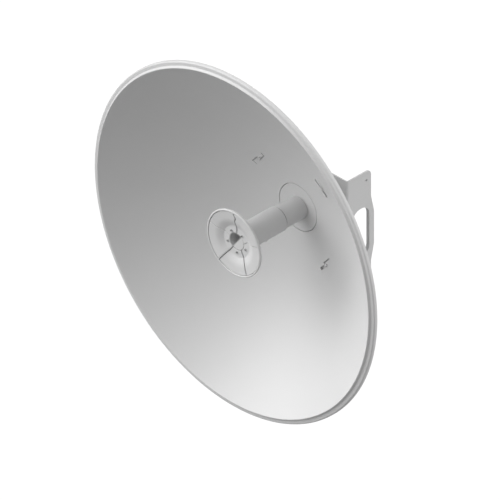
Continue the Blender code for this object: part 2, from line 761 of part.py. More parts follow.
def bolt_set(assembly, kind, name, side, height, material):
    """Hex bolt through cheek and bracket, with its nut inside."""
    outside = CHEEK_GAP + CHEEK_SHEET + GAP
    inside = CHEEK_GAP - GAP - BRACKET_SHEET - GAP
    tail = inside - NUT_HEIGHT - BOLT_TAIL
    head = cylinder(
        assembly, f"{kind}_bolt_{name}", BOLT_HEAD_RADIUS, BOLT_HEAD_HEIGHT, material,
        (side * (outside + BOLT_HEAD_HEIGHT / 2), BOLT_BACK, height), FACE_SIDE, 6,
    )
    length = outside + SHANK_OVERLAP - tail
    shank = cylinder(
        assembly, f"{kind}_shank_{name}", BOLT_RADIUS, length, material,
        (side * (tail + length / 2), BOLT_BACK, height), FACE_SIDE, 12,
    )
    combine(head, assembly.make_cutter(shank), "UNION")
    ring = [circle(0, 0, BOLT_HEAD_RADIUS, 6), circle(0, 0, BOLT_RADIUS + GAP, 12)]
    plate(
        assembly, f"{kind}_nut_{name}", ring, NUT_HEIGHT, material,
        (side * (inside - NUT_HEIGHT / 2), BOLT_BACK, height), FACE_SIDE,
    )


def main():
    clear_scene()
    assembly = Assembly("dish_antenna")
    materials = {
        "dish_paint": make_material("dish_paint", (0.72, 0.73, 0.74), 0.42),
        "hub_paint": make_material("hub_paint", (0.70, 0.71, 0.72), 0.45),
        "feed_plastic": make_material("feed_plastic", (0.62, 0.63, 0.64), 0.5),
        "splash_plastic": make_material("splash_plastic", (0.74, 0.75, 0.75), 0.5),
        "bore_plastic": make_material("bore_plastic", (0.45, 0.45, 0.46), 0.6),
        "seal": make_material("seal", (0.12, 0.12, 0.13), 0.8),
        "frame_paint": make_material("frame_paint", (0.66, 0.67, 0.68), 0.45),
        "mount_steel": make_material("mount_steel", (0.55, 0.56, 0.57), 0.4, 0.8),
        "cast": make_material("cast", (0.5, 0.5, 0.51), 0.5, 0.6),
        "housing_plastic": make_material("housing_plastic", (0.58, 0.59, 0.6), 0.55),
        "steel": make_material("steel", (0.5, 0.5, 0.5), 0.35, 1.0),
        "brass": make_material("brass", (0.72, 0.58, 0.3), 0.3, 1.0),
    }
    reflector(assembly, materials["dish_paint"])
    hub_and_feed(assembly, materials)
    splash_plate(assembly, materials)
    rear_frame(assembly, materials)
    rear_mount(assembly, materials)


main()
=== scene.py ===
"""Dish antenna: the finished look of every piece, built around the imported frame.

Metres, +Z up, the dish faces -Y. New pieces are surfaces worked out with numpy, as a profile turned
about an axis or as a function of two parameters on a grid, and a Place lays each one on the frame.
"""

import logging
import math
from dataclasses import dataclass, replace
from enum import Enum
from typing import Sequence, Union

import bmesh
import bpy
import numpy as np
from mathutils import Matrix, Vector
from mathutils.geometry import tessellate_polygon

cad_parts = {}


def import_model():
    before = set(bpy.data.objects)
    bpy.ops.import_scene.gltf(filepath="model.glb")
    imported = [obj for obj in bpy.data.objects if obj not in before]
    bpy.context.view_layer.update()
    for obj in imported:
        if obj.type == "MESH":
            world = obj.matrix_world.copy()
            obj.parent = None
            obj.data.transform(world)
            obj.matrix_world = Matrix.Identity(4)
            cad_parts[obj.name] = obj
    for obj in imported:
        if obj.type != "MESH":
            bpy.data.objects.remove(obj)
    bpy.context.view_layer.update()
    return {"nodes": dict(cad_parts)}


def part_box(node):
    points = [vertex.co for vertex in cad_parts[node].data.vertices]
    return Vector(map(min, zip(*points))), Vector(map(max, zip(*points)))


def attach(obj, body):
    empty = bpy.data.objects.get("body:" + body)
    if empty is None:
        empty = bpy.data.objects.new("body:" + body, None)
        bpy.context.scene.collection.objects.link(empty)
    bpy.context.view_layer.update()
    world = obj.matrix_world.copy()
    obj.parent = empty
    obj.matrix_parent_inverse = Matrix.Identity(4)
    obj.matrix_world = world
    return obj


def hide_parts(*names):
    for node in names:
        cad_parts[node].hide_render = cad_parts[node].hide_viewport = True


Array = np.ndarray
Numbers = Union[float, Array]
Pair = tuple[float, float]
Triple = tuple[float, float, float]
Corner = tuple[float, float, float]
Box = tuple[Vector, Vector]

BODY = "root"
GAP = 0.0003
WELD = 1e-6
CAD_WELD = 1e-5
CAD_FLAT_ANGLE = 1.0
CAD_SHARP_ANGLE = 30.0
SHARP_ANGLE = 35.0
HEX_CORNER = 0.577
THREAD_DEPTH = 0.55
X_AXIS = (1.0, 0.0, 0.0)
Z_AXIS = (0.0, 0.0, 1.0)

log = logging.getLogger("dish_antenna")


class Slot(Enum):
    """The record's material slots."""

    DISH = "dish_paint"
    HUB = "hub_paint"
    FEED = "feed_plastic"
    SPLASH = "splash_plastic"
    BORE = "bore_plastic"
    SEAL = "seal"
    FRAME = "frame_paint"
    MOUNT = "mount_steel"
    CAST = "cast"
    HOUSING = "housing_plastic"
    FASTENER = "steel"
    BRASS = "brass"


@dataclass(frozen=True)
class Place:
    """A local frame whose right and up span a face and whose ahead is the way the face looks."""

    origin: Triple
    right: Triple
    up: Triple

    @property
    def ahead(self) -> Array:
        """The cross product of right and up."""
        return np.cross(self.right, self.up)

    def lay(self, local: Array) -> Array:
        """Takes local points (a, b, c) to origin + a right + b up + c ahead."""
        return local @ np.array([self.right, self.up, self.ahead]) + np.array(self.origin)

    def moved(self, right: float = 0.0, up: float = 0.0, ahead: float = 0.0) -> "Place":
        """The same frame with its origin moved along its own axes."""
        return replace(self, origin=tuple(self.lay(np.array([right, up, ahead]))))

    def spun(self, degrees: float) -> "Place":
        """The frame turned about ahead, from right towards up."""
        cosine, sine = math.cos(math.radians(degrees)), math.sin(math.radians(degrees))
        right, up = np.array(self.right), np.array(self.up)
        return replace(self, right=tuple(right * cosine + up * sine), up=tuple(up * cosine - right * sine))


@dataclass(frozen=True)
class Surface:
    """Points and faces of four corners each. A triangle repeats one corner."""

    points: Array
    faces: Array

    def __add__(self, other: "Surface") -> "Surface":
        """Both surfaces as one."""
        faces = np.vstack((self.faces, other.faces + len(self.points)))
        return Surface(np.vstack((self.points, other.points)), faces)

    def at(self, place: Place) -> "Surface":
        """The surface laid in a place."""
        return Surface(place.lay(self.points), self.faces)

    def outward(self) -> "Surface":
        """Turns every face round if the volume that the closed surface holds comes out negative."""
        a, b, c, d = (self.points[self.faces[:, corner]] for corner in range(4))
        volume = np.einsum("ij,ij->", a, np.cross(b, c)) + np.einsum("ij,ij->", a, np.cross(c, d))
        return self if volume > 0 else Surface(self.points, self.faces[:, ::-1])

    def mesh(self, name: str) -> bpy.types.Mesh:
        """Makes the mesh: equal points are welded and corners that fall together are dropped.

        Args:
            name: the mesh's name.

        Returns:
            The new mesh, shaded smooth between its sharp edges.
        """
        whole = np.round(self.points / WELD).astype(np.int64)
        _, first, index = np.unique(whole, axis=0, return_index=True, return_inverse=True)
        faces = index.reshape(-1)[self.faces]
        kept = faces != np.roll(faces, -1, axis=1)
        counts = kept.sum(axis=1)
        solid = counts > 2
        loops = faces[solid][kept[solid]]
        starts = np.concatenate(([0], np.cumsum(counts[solid])[:-1]))
        mesh = bpy.data.meshes.new(name)
        mesh.vertices.add(len(first))
        mesh.vertices.foreach_set("co", self.points[first].astype(np.float32).ravel())
        mesh.loops.add(len(loops))
        mesh.loops.foreach_set("vertex_index", loops.astype(np.int32))
        mesh.polygons.add(len(starts))
        mesh.polygons.foreach_set("loop_start", starts.astype(np.int32))
        mesh.update(calc_edges=True)
        mesh.validate()
        return shaded(mesh, SHARP_ANGLE)


def shaded(mesh: bpy.types.Mesh, sharp: float) -> bpy.types.Mesh:
    """Shades a mesh smooth, with edges past the angle in degrees left sharp."""
    mesh.shade_smooth()
    mesh.set_sharp_from_angle(angle=math.radians(sharp))
    return mesh


def linked(name: str, data: bpy.types.ID) -> bpy.types.Object:
    """A new object in the scene."""
    made = bpy.data.objects.new(name, data)
    bpy.context.scene.collection.objects.link(made)
    return made


def unit(vector: Array) -> Array:
    """The vector at length 1."""
    return vector / np.linalg.norm(vector)


def filleted(corners: Sequence[Corner], steps: int = 6) -> Array:
    """A path through (x, y, radius) corners, each inner one cut by an arc that touches its sides.

    The arc's centre is on the corner's bisector, radius / sin(half the corner) away. A point on it
    is the slerp between the two points where it touches the sides.

    Args:
        corners: the path's corners, of which the first and the last stay as they are.
        steps: the pieces in each arc.

    Returns:
        The points, as (n, 2).
    """
    parts = [np.array([corners[0][:2]])]
    for before, (x, y, radius), after in zip(corners, corners[1:], corners[2:]):
        corner = np.array((x, y))
        if radius == 0:
            parts.append(corner[None])
            continue
        back = unit(np.array(before[:2]) - corner)
        ahead = unit(np.array(after[:2]) - corner)
        half = math.acos(float(np.clip(back @ ahead, -1, 1))) / 2
        centre = corner + unit(back + ahead) * radius / math.sin(half)
        first = corner + back * radius / math.tan(half) - centre
        last = corner + ahead * radius / math.tan(half) - centre
        sweep = math.pi - 2 * half
        share = np.linspace(0, 1, steps + 1)[:, None]
        arc = np.sin((1 - share) * sweep) * first + np.sin(share * sweep) * last
        parts.append(centre + arc / math.sin(sweep))
    parts.append(np.array([corners[-1][:2]]))
    return np.vstack(parts)


def ring(corners: Sequence[Corner], steps: int = 6) -> Array:
    """A closed path through (x, y, radius) corners, every one of them filleted."""
    return filleted([corners[-1], *corners, corners[0]], steps)[1:-1]


def grid(points: Array, wrap_rows: bool = False, wrap_columns: bool = False) -> Surface:
    """Joins a (rows, columns, 3) array into quads, each with its neighbours in row and column.

    Args:
        points: the points in their rows and columns.
        wrap_rows: whether the last row joins the first.
        wrap_columns: whether the last column joins the first.

    Returns:
        The surface.
    """
    rows, columns = points.shape[:2]
    index = np.arange(rows * columns).reshape(rows, columns)
    if wrap_rows:
        index = np.vstack((index, index[:1]))
    if wrap_columns:
        index = np.hstack((index, index[:, :1]))
    quads = (index[:-1, :-1], index[:-1, 1:], index[1:, 1:], index[1:, :-1])
    return Surface(points.reshape(-1, 3), np.stack(quads, axis=-1).reshape(-1, 4))


def turn(steps: int) -> Array:
    """The angles of equal steps round a full turn."""
    return np.linspace(0, 2 * math.pi, steps, endpoint=False)


def polar(radius: Numbers, angle: Array, height: Numbers) -> Array:
    """The points (r cos t, r sin t, h), with all three brought to one shape."""
    parts = np.broadcast_arrays(radius * np.cos(angle), radius * np.sin(angle), height)
    return np.stack(parts, axis=-1)


def turned(profile: Array, steps: int = 96, flats: float = 0.0) -> Surface:
    """Turns a closed profile: (r, h) at angle t becomes (r cos t, r sin t, h).

    With flats, r is held inside a hexagon: at most half the width over the flats, divided by the
    cosine of the angle from the middle of the nearest flat.

    Args:
        profile: the (radius, height) points, in order round the section.
        steps: the number of sections round the axis, a multiple of six with flats.
        flats: the width over the flats, or 0 for a round shape.

    Returns:
        The closed surface.
    """
    radius, angle = profile[:, :1], turn(steps)
    if flats:
        sixth = math.pi / 3
        radius = np.minimum(radius, flats / 2 / np.cos(angle % sixth - sixth / 2))
    return grid(polar(radius, angle, profile[:, 1:]), wrap_rows=True, wrap_columns=True).outward()


def thread_wave(height: Array, angle: Array, pitch: float) -> Array:
    """How deep a thread is cut, 0 to 1: a triangle wave of height / pitch - angle / turn."""
    return np.abs(2 * ((height / pitch - angle / (2 * math.pi)) % 1) - 1)


def threaded(radius: float, low: float, high: float, pitch: float, steps: int = 24) -> Surface:
    """A closed screw thread: r = radius - depth times the thread's wave, which fades at the top.

    Args:
        radius: the radius of the crests.
        low: the height of the lower end.
        high: the height of the upper end, where the thread fades into a chamfer.
        pitch: the height of one turn, of which the depth is a fixed share.
        steps: the number of sections round the axis.

    Returns:
        The closed surface.
    """
    height = np.linspace(low, high, max(8, round((high - low) / pitch * 8)))[:, None]
    angle = turn(steps)
    chamfer = np.clip(1 - (high - height) / pitch, 0, 1)
    wave = np.maximum(thread_wave(height, angle, pitch), chamfer)
    axis = np.zeros((1, steps))
    body = np.vstack((axis, radius - THREAD_DEPTH * pitch * wave, axis))
    levels = np.vstack((height[:1], height, height[-1:]))
    return grid(polar(body, angle, levels), wrap_columns=True).outward()


def plate(outline: Array, low: float, high: float) -> Surface:
    """A flat plate between two heights, with a wall round it and both faces filled.

    Twice the outline's signed area tells which way round it runs.

    Args:
        outline: its closed (n, 2) outline.
        low: the height of the lower face.
        high: the height of the upper face.

    Returns:
        The closed surface.
    """
    after = np.roll(outline, -1, axis=0)
    if np.sum(outline[:, 0] * after[:, 1] - after[:, 0] * outline[:, 1]) < 0:
        outline = outline[::-1]
    levels = [np.column_stack((outline, np.full(len(outline), level))) for level in (low, high)]
    walls = grid(np.stack(levels), wrap_columns=True)
    filled = np.array(tessellate_polygon([[(x, y, 0.0) for x, y in outline]]))
    a, b, c = (outline[filled[:, corner]] for corner in range(3))
    clockwise = np.cross(b - a, c - a) < 0
    filled[clockwise] = filled[clockwise][:, ::-1]
    return walls + Surface(levels[1], filled[:, [0, 1, 2, 2]]) + Surface(levels[0], filled[:, [2, 1, 0, 0]])


def slab(top: Array, bottom: Array) -> Surface:
    """The closed surface between two grids of points of the same shape, (rows, columns, 3).

    Each row's top and bottom form one loop round the slab, and two strips close its ends.

    Args:
        top: the points of the upper face.
        bottom: the points of the lower face.

    Returns:
        The closed surface.
    """
    rows, columns = top.shape[:2]
    body = grid(np.concatenate((top, bottom[:, ::-1]), axis=1), wrap_columns=True)
    upper = np.arange(columns)
    under = 2 * columns - 1 - upper
    first = np.stack((upper[1:], upper[:-1], under[:-1], under[1:]), axis=-1)
    last = np.stack((upper[:-1], upper[1:], under[1:], under[:-1]), axis=-1)
    last = last + (rows - 1) * 2 * columns
    return Surface(body.points, np.vstack((body.faces, first, last))).outward()


def carved(mesh: bpy.types.Mesh, cutters: Sequence[bpy.types.Mesh]) -> bpy.types.Mesh:
    """Cuts closed meshes out of another with exact Booleans, and uses all of them up.

    Args:
        mesh: the mesh to cut.
        cutters: the shapes to take away.

    Returns:
        The cut mesh, under the first one's name.
    """
    name = mesh.name
    block = linked("uncut", mesh)
    tools = [linked("cutter", cutter) for cutter in cutters]
    for tool in tools:
        modifier = block.modifiers.new("cut", "BOOLEAN")
        modifier.operation = "DIFFERENCE"
        modifier.solver = "EXACT"
        modifier.object = tool
    bpy.context.view_layer.update()
    graph = bpy.context.evaluated_depsgraph_get()
    result = bpy.data.meshes.new_from_object(block.evaluated_get(graph))
    for obj in (block, *tools):
        bpy.data.objects.remove(obj, do_unlink=True)
    for used in (mesh, *cutters):
        bpy.data.meshes.remove(used)
    result.name = name
    return shaded(result, SHARP_ANGLE)


def merged(node: bpy.types.Object, name: str) -> bpy.types.Mesh:
    """Copies a CAD node's mesh, joins its loose triangles and makes its flat faces whole.

    Args:
        node: the CAD node.
        name: the copy's name.

    Returns:
        The copy.
    """
    work = bmesh.new()
    work.from_mesh(node.data)
    bmesh.ops.remove_doubles(work, verts=work.verts, dist=CAD_WELD)
    bmesh.ops.dissolve_degenerate(work, dist=CAD_WELD, edges=work.edges)
    flat = math.radians(CAD_FLAT_ANGLE)
    bmesh.ops.dissolve_limit(work, angle_limit=flat, verts=work.verts, edges=work.edges)
    mesh = bpy.data.meshes.new(name)
    work.to_mesh(mesh)
    work.free()
    if "custom_normal" in mesh.attributes:
        mesh.attributes.remove(mesh.attributes["custom_normal"])
    return mesh


def middle(box: Box) -> Vector:
    """The middle of a box."""
    return (box[0] + box[1]) / 2


@dataclass
class Bench:
    """Turns meshes into pieces that ride on the frame's body, each with its slot and finish."""

    nodes: dict[str, bpy.types.Object]
    finishes: dict[Slot, bpy.types.Material]
    pieces: int = 0

    def add(
        self, name: str, shape: Union[Surface, bpy.types.Mesh], slot: Slot, *replaced: str
    ) -> bpy.types.Object:
        """Adds one piece.

        Args:
            name: the piece's name.
            shape: its surface or its mesh, in place.
            slot: the material slot of its finish.
            replaced: the CAD nodes that it stands for.

        Returns:
            The new object.
        """
        mesh = shape.mesh(name) if isinstance(shape, Surface) else shape
        piece = linked(name, mesh)
        mesh.materials.clear()
        mesh.materials.append(self.finishes[slot])
        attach(piece, BODY)
        if replaced:
            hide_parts(*replaced)
        self.pieces += 1
        log.info("piece %d: %s, %d faces", self.pieces, name, len(mesh.polygons))
        return piece

    def soften(self, node: str, name: str, slot: Slot, edge: float) -> None:
        """Puts a copy of a CAD node, with edges rounded to this width, in that node's place."""
        mesh = shaded(merged(self.nodes[node], name), CAD_SHARP_ANGLE)
        round_edges(self.add(name, mesh, slot, node), edge)


def round_edges(piece: bpy.types.Object, edge: float) -> None:
    """Gives a piece a live Bevel modifier that rounds its sharp edges to this width."""
    bevel = piece.modifiers.new("rounded_edges", "BEVEL")
    bevel.width = edge
    bevel.segments = 3
    bevel.limit_method = "ANGLE"
    bevel.angle_limit = math.radians(SHARP_ANGLE)
    bevel.harden_normals = True


@dataclass
class SubAssembly:
    """What each sub-assembly works with: the bench, and the vertex's place, which looks forward."""

    bench: Bench
    face: Place

    def add(self, name: str, shape: Surface, slot: Slot, *replaced: str) -> bpy.types.Object:
        """Adds a piece whose surface is measured from the vertex."""
        return self.bench.add(name, shape.at(self.face), slot, *replaced)


class SlotHand(Enum):
    """Which way a cranked slot steps: its clockwise leg lies further out or further in."""

    STEPS_OUT = 1
    STEPS_IN = -1


@dataclass(frozen=True)
class CrankedSlot:
    """A slot for a hook, with x clockwise along its circle and y outwards from it.

    One leg runs from the first end to crank[1] and the other from crank[0] to the second end.
    """

    degrees: float
    hand: SlotHand
    ends: Pair = (-0.0155, 0.0175)
    crank: Pair = (0.0010, 0.0050)
    low_leg: Pair = (-0.0036, -0.0010)
    high_leg: Pair = (0.0004, 0.0054)

    def outlines(self, circle: float) -> list[Array]:
        """The slot's one outline, round a circle of this radius."""
        left, right = self.ends
        near, far = self.crank
        low, high = self.low_leg, self.high_leg
        corners = [
            (left, low[0]), (far, low[0]), (far, high[0]), (right, high[0]),
            (right, high[1]), (near, high[1]), (near, low[1]), (left, low[1]),
        ]
        return [np.array([(x, circle + self.hand.value * y) for x, y in corners])]


@dataclass(frozen=True)
class AngledCuts:
    """Two angled cuts on either side of a hook, whose stem passes through the second one.

    The first turns inwards at its far left, and the second outwards at its far right.
    """

    degrees: float
    first: tuple[Pair, ...] = (
        (-0.0162, -0.0054), (-0.0152, -0.0054), (-0.0166, 0.0021), (-0.0010, 0.0021),
        (-0.0010, 0.0036), (-0.0180, 0.0036),
    )
    second: tuple[Pair, ...] = (
        (-0.0030, -0.0036), (0.0147, -0.0036), (0.0147, 0.0042), (0.0129, 0.0042),
        (0.0129, -0.0018), (0.0037, -0.0018), (0.0037, 0.0011), (0.0011, 0.0011),
        (0.0011, -0.0018), (-0.0030, -0.0018),
    )

    def outlines(self, circle: float) -> list[Array]:
        """Both outlines, round a circle of this radius."""
        return [np.array(cut) + np.array([0, circle]) for cut in (self.first, self.second)]


@dataclass
class Reflector(SubAssembly):
    """Pressed bowl: a paraboloid with a crisp lip, a flange set back from it and a rolled edge."""

    radius: float = 0.325
    lip_radius: float = 0.3134
    depth: float = 0.1545
    sheet: float = 0.002
    flange_drop: float = 0.003
    flange_foot: float = 0.0042
    foot_round: float = 0.0012
    lip_start: float = 0.001
    crest: Corner = (0.0010, 0.0009, 0.0010)
    roll_radius: float = 0.003
    roll_depth: float = 0.0105
    edge_round: float = 0.0008
    hole_radius: float = 0.0437
    hole_round: float = 0.0006
    steps: int = 288
    curve_points: int = 64
    slot_circle: float = 0.1027
    slots: tuple[Union[CrankedSlot, AngledCuts], ...] = (
        CrankedSlot(48.5, SlotHand.STEPS_OUT, (-0.0180, 0.0173), (0.0010, 0.0030),
                    (-0.0052, -0.0008), (-0.0045, 0.0054)),
        AngledCuts(138.5),
        CrankedSlot(228.5, SlotHand.STEPS_IN),
        CrankedSlot(318.5, SlotHand.STEPS_OUT),
    )

    @property
    def focal_length(self) -> float:
        """The paraboloid's focal length, lip radius squared over four times the depth."""
        return self.lip_radius**2 / (4 * self.depth)

    def front(self, radius: Numbers) -> Numbers:
        """How far the bowl's face lies forward of the vertex: radius squared over 4 focal lengths."""
        return radius**2 / (4 * self.focal_length)

    def profile(self) -> Array:
        """The section as (radius, forward) points: face, lip, flange, rolled edge and back."""
        start = self.hole_radius + 4 * self.hole_round
        radii = np.linspace(start, self.lip_radius - self.lip_start, self.curve_points)
        face = np.column_stack((radii, self.front(radii)))
        slope = np.arctan(radii / (2 * self.focal_length))
        back = face + self.sheet * np.column_stack((np.sin(slope), -np.cos(slope)))
        flange, rolled = self.depth - self.flange_drop, self.depth - self.roll_depth
        back = back[back[:, 1] < flange - 2.2 * self.sheet]
        out, forward, crest_round = self.crest
        inner = self.radius - self.sheet
        edge = filleted(
            [
                (*face[-1], 0),
                (self.lip_radius + out, self.depth + forward, crest_round),
                (self.lip_radius + self.flange_foot, flange, self.foot_round),
                (self.radius, flange, self.roll_radius),
                (self.radius, rolled, self.edge_round),
                (inner, rolled, self.edge_round),
                (inner, flange - self.sheet, self.roll_radius - self.sheet),
                (back[-1][0] + 1.2 * self.sheet, flange - self.sheet, self.sheet),
                (*back[-1], 0),
            ]
        )
        bore = filleted(
            [
                (*back[0], 0),
                (self.hole_radius, back[0][1], 0),
                (self.hole_radius, self.front(self.hole_radius), self.hole_round),
                (*face[0], 0),
            ]
        )
        return np.vstack((face[1:-1], edge, back[::-1][1:-1], bore))

    def build(self) -> None:
        """Makes the bowl and cuts its slots."""
        bowl = turned(self.profile(), self.steps).at(self.face).mesh("reflector_bowl")
        reach = 2 * self.front(self.slot_circle)
        cutters = [
            plate(outline, 0, reach).at(self.face.spun(slot.degrees - 90)).mesh("slot_cutter")
            for slot in self.slots
            for outline in slot.outlines(self.slot_circle)
        ]
        self.bench.add("reflector_bowl", carved(bowl, cutters), Slot.DISH, "reflector")


@dataclass
class HubAndFeed(SubAssembly):
    """Hub plate flush with the bowl, and the two-part feed tube that stands on it."""

    bowl: Reflector
    hub_radius: float = 0.0427
    hub_round: float = 0.0006
    boss_radius: float = 0.0355
    boss_back: float = 0.008
    sleeve_radius: float = 0.0205
    tube_radius: float = 0.0225
    tube_inner: float = 0.0175
    joint_front: float = 0.0488
    joint_ring: float = 0.0013
    joint_proud: float = 0.0006
    joint_round: float = 0.0004
    end_round: float = 0.0008
    tube_end: float = 0.1379

    def hub(self) -> Surface:
        """The hub plate, whose face follows the bowl's curve up to a rounded edge."""
        bowl = self.bowl
        radii = np.linspace(0, self.hub_radius - 3 * self.hub_round, 24)
        face = np.column_stack((radii, bowl.front(radii)))
        rim = filleted(
            [
                (*face[-1], 0),
                (self.hub_radius, bowl.front(self.hub_radius), self.hub_round),
                (self.hub_radius, -bowl.sheet, 0),
                (self.boss_radius, -bowl.sheet, self.end_round),
                (self.boss_radius, -self.boss_back, self.end_round),
                (0, -self.boss_back, 0),
            ]
        )
        return turned(np.vstack((face[:-1], rim)), 192)

    def tube(self, radius: float, rear: float, front: float, soft: float) -> Surface:
        """A length of tube whose outer ends are rounded to the radius soft."""
        inner = self.tube_inner
        corners = [(inner, rear, 0), (inner, front, 0), (radius, front, soft), (radius, rear, soft)]
        return turned(ring(corners))

    def build(self) -> None:
        """Makes the hub plate and the feed: rear sleeve, joint seal and front tube."""
        self.add("hub_plate", self.hub(), Slot.HUB, "hub_flange")
        foot = self.bowl.front(self.sleeve_radius) + GAP
        sleeve = self.tube(self.sleeve_radius, foot, self.joint_front, self.end_round)
        self.add("feed_rear_sleeve", sleeve, Slot.FEED, "feed_sleeve")
        rear = self.joint_front + GAP
        proud = self.sleeve_radius + self.joint_proud
        seal = self.tube(proud, rear, rear + self.joint_ring, self.joint_round)
        self.add("feed_joint_seal", seal, Slot.SEAL, "feed_joint_ring")
        rear += self.joint_ring + GAP
        front = self.tube(self.tube_radius, rear, self.tube_end, self.end_round)
        self.add("feed_front_tube", front, Slot.FEED, "feed_tube")


@dataclass(frozen=True)
class Seam:
    """The joint between two segments of the splash plate's face.

    It runs outwards at an angle and wanders sideways, anticlockwise positive, as (radius, offset)
    points say. The clear width before it and after it is the room up to either segment.
    """

    degrees: float
    before: float
    after: float
    wander: tuple[Pair, ...] = ((0.016, 0.0), (0.058, 0.0))

    def angle(self, radius: Array) -> Array:
        """The seam's angle at a radius: its own angle plus its offset there over the radius."""
        radii, offsets = zip(*self.wander)
        return math.radians(self.degrees) + np.interp(radius, radii, offsets) / radius


@dataclass(frozen=True)
class ScrewHead:
    """A low domed screw head with a deep round socket."""

    radius: float = 0.0022
    height: float = 0.0012
    socket: float = 0.0015
    crown: float = 0.0005

    def surface(self) -> Surface:
        """The head, standing on the plane at height 0 with its socket's floor just below it."""
        floor = -0.4 * self.height
        corners = [
            (0, floor, 0), (self.socket, floor, 0), (self.socket, self.height, 0.0001),
            (self.radius, self.height, self.crown), (self.radius, 0, 0), (0, floor - GAP, 0),
        ]
        return turned(filleted(corners, 4), 24)


@dataclass
class SplashPlate(SubAssembly):
    """Small reflector in front of the feed: five segments in a beaded rim, round the open mouth."""

    radius: float = 0.0618
    face_profile: tuple[Corner, ...] = (
        (0.0150, 0.1452, 0), (0.0292, 0.1452, 0.0020), (0.0405, 0.1505, 0.0300), (0.0604, 0.1526, 0),
    )
    mouth_radius: float = 0.0164
    face_radius: float = 0.0579
    thickness: float = 0.0025
    body_gap: float = 0.0003
    body_skin: float = 0.0042
    bore_inset: float = 0.0002
    seat_inset: float = 0.0010
    rim_inset: float = 0.0006
    rim_height: float = 0.0010
    skirt: Pair = (0.0040, 0.0028)
    neck_radius: float = 0.0280
    wall_radius: float = 0.0430
    edge_round: float = 0.0007
    bead_inner: float = 0.0586
    bead_front: float = 0.1535
    bead_height: float = 0.0040
    seams: tuple[Seam, ...] = (
        Seam(18, 0.0003, 0.0003, ((0.016, -0.0018), (0.019, -0.0018), (0.024, 0.0009),
                                  (0.043, -0.0010), (0.0545, -0.0001))),
        Seam(90, 0.0013, 0.0013, ((0.016, 0.0), (0.028, 0.0), (0.043, -0.0003),
                                  (0.050, -0.0029), (0.0555, 0.0007))),
        Seam(162, 0.00015, 0.00015),
        Seam(233.4, 0.0006, 0.0015),
        Seam(306, 0.0013, 0.0013, ((0.0155, 0.0), (0.0205, -0.0009), (0.029, -0.0020),
                                   (0.0395, -0.0021), (0.0546, -0.0054))),
    )
    lifts: tuple[float, ...] = (0.0004, 0.0002, 0.0005, -0.0004, -0.0002)
    # Heights above the seat of the dark sheet that paints the shade in the seams.
    backing: Pair = (0.00006, 0.00024)
    wall_sheet: float = 0.0008
    wall_proud: float = 0.0007
    wall_recess: float = 0.0006
    wall_over_bead: float = 0.0002
    wall_end: float = 0.0004
    liner_radius: float = 0.0159
    liner_wall: float = 0.0007
    liner_depth: float = 0.018
    ledge_offset: float = 0.0009
    ledge_recess: float = 0.0003
    ledge_round: float = 0.0004
    screw_circle: float = 0.0210
    screw: ScrewHead = ScrewHead()

    def level(self, radius: Numbers) -> Numbers:
        """How far forward the face lies at a radius: the profile's corners joined and filleted."""
        path = filleted(self.face_profile, 8)
        return np.interp(radius, path[:, 0], path[:, 1])

    def drop(self, distance: Array) -> Array:
        """How far a rounded edge falls away: a quarter circle within edge_round of the edge."""
        within = np.clip(1 - distance / self.edge_round, 0, 1)
        return self.edge_round * (1 - np.sqrt(1 - within**2))

    def segment(self, number: int) -> Surface:
        """One segment, on a grid of radius against the way across from seam to seam.

        Rows run from the mouth to the bead. Columns near each seam lie at fixed distances from
        it, for the rounded edge, and the rest divide what is between. The face's height is the
        profile's, plus the segment's lift, less the fall of the nearest rounded edge.
        """
        start = self.seams[number]
        end = self.seams[(number + 1) % len(self.seams)]
        edge = self.edge_round * np.array([0, 0.06, 0.2, 0.5, 1.0])
        inner, outer = self.mouth_radius, self.face_radius
        inside = np.linspace(inner + self.edge_round, outer - self.edge_round, 56)
        radii = np.concatenate((inner + edge[:-1], inside, (outer - edge[:-1])[::-1]))[:, None]
        first = start.angle(radii) + start.after / radii
        last = end.angle(radii) + 2 * math.pi * (number == len(self.seams) - 1)
        last = last - end.before / radii
        near = first + edge[None, :-1] / radii
        far = last - edge[None, :-1][:, ::-1] / radii
        low = first + self.edge_round / radii
        high = last - self.edge_round / radii
        between = low + (high - low) * np.linspace(0, 1, 28)[None, :]
        angle = np.concatenate((near, between, far), axis=1)
        aside = np.minimum(angle - first, last - angle) * radii
        along = np.minimum(radii - inner, outer - radii)
        height = self.level(radii) + self.lifts[number] - self.drop(np.minimum(aside, along))
        return slab(polar(radii, angle, height), polar(radii, angle, self.level(radii) - self.thickness))

    def body(self) -> Surface:
        """The moulding behind the segments: it follows the face at a distance, down to its neck."""
        drop = self.thickness + self.body_gap
        bore = self.mouth_radius - self.bore_inset
        radii = np.linspace(bore, self.radius - self.seat_inset, 64)
        seat = np.column_stack((radii, self.level(radii) - drop))
        rim = self.radius - self.rim_inset
        back = seat[-1][1]
        inset, fall = self.skirt
        neck = self.level(self.mouth_radius) - drop - self.body_skin
        rear = filleted(
            [
                (*seat[-1], 0), (rim, back, 0.0003), (rim, back - self.rim_height, 0.0006),
                (self.radius - inset, back - fall, 0.0020),
                (self.wall_radius, back - self.body_skin, 0.0060),
                (self.neck_radius, neck, 0.0020), (bore, neck, 0),
            ]
        )
        return turned(np.vstack((seat[:-1], rear)), 144)

    def seal(self) -> Surface:
        """The thin dark sheet just above the moulding, seen only through the seams: it paints the shade in
        them.
        """
        radii = np.linspace(self.mouth_radius, self.bead_inner, 48)
        seat = self.level(radii) - self.thickness - self.body_gap
        low, high = (np.column_stack((radii, seat + level)) for level in self.backing)
        return turned(np.vstack((low, high[::-1])), 144)

    def bead(self) -> Surface:
        """The rounded bead round the face."""
        front, back = self.bead_front, self.bead_front - self.bead_height + GAP
        corners = [
            (self.bead_inner, back, 0), (self.bead_inner, front, 0.0010),
            (self.radius, front, 0.0016), (self.radius, back, 0.0008),
        ]
        return turned(ring(corners, 8), 192)

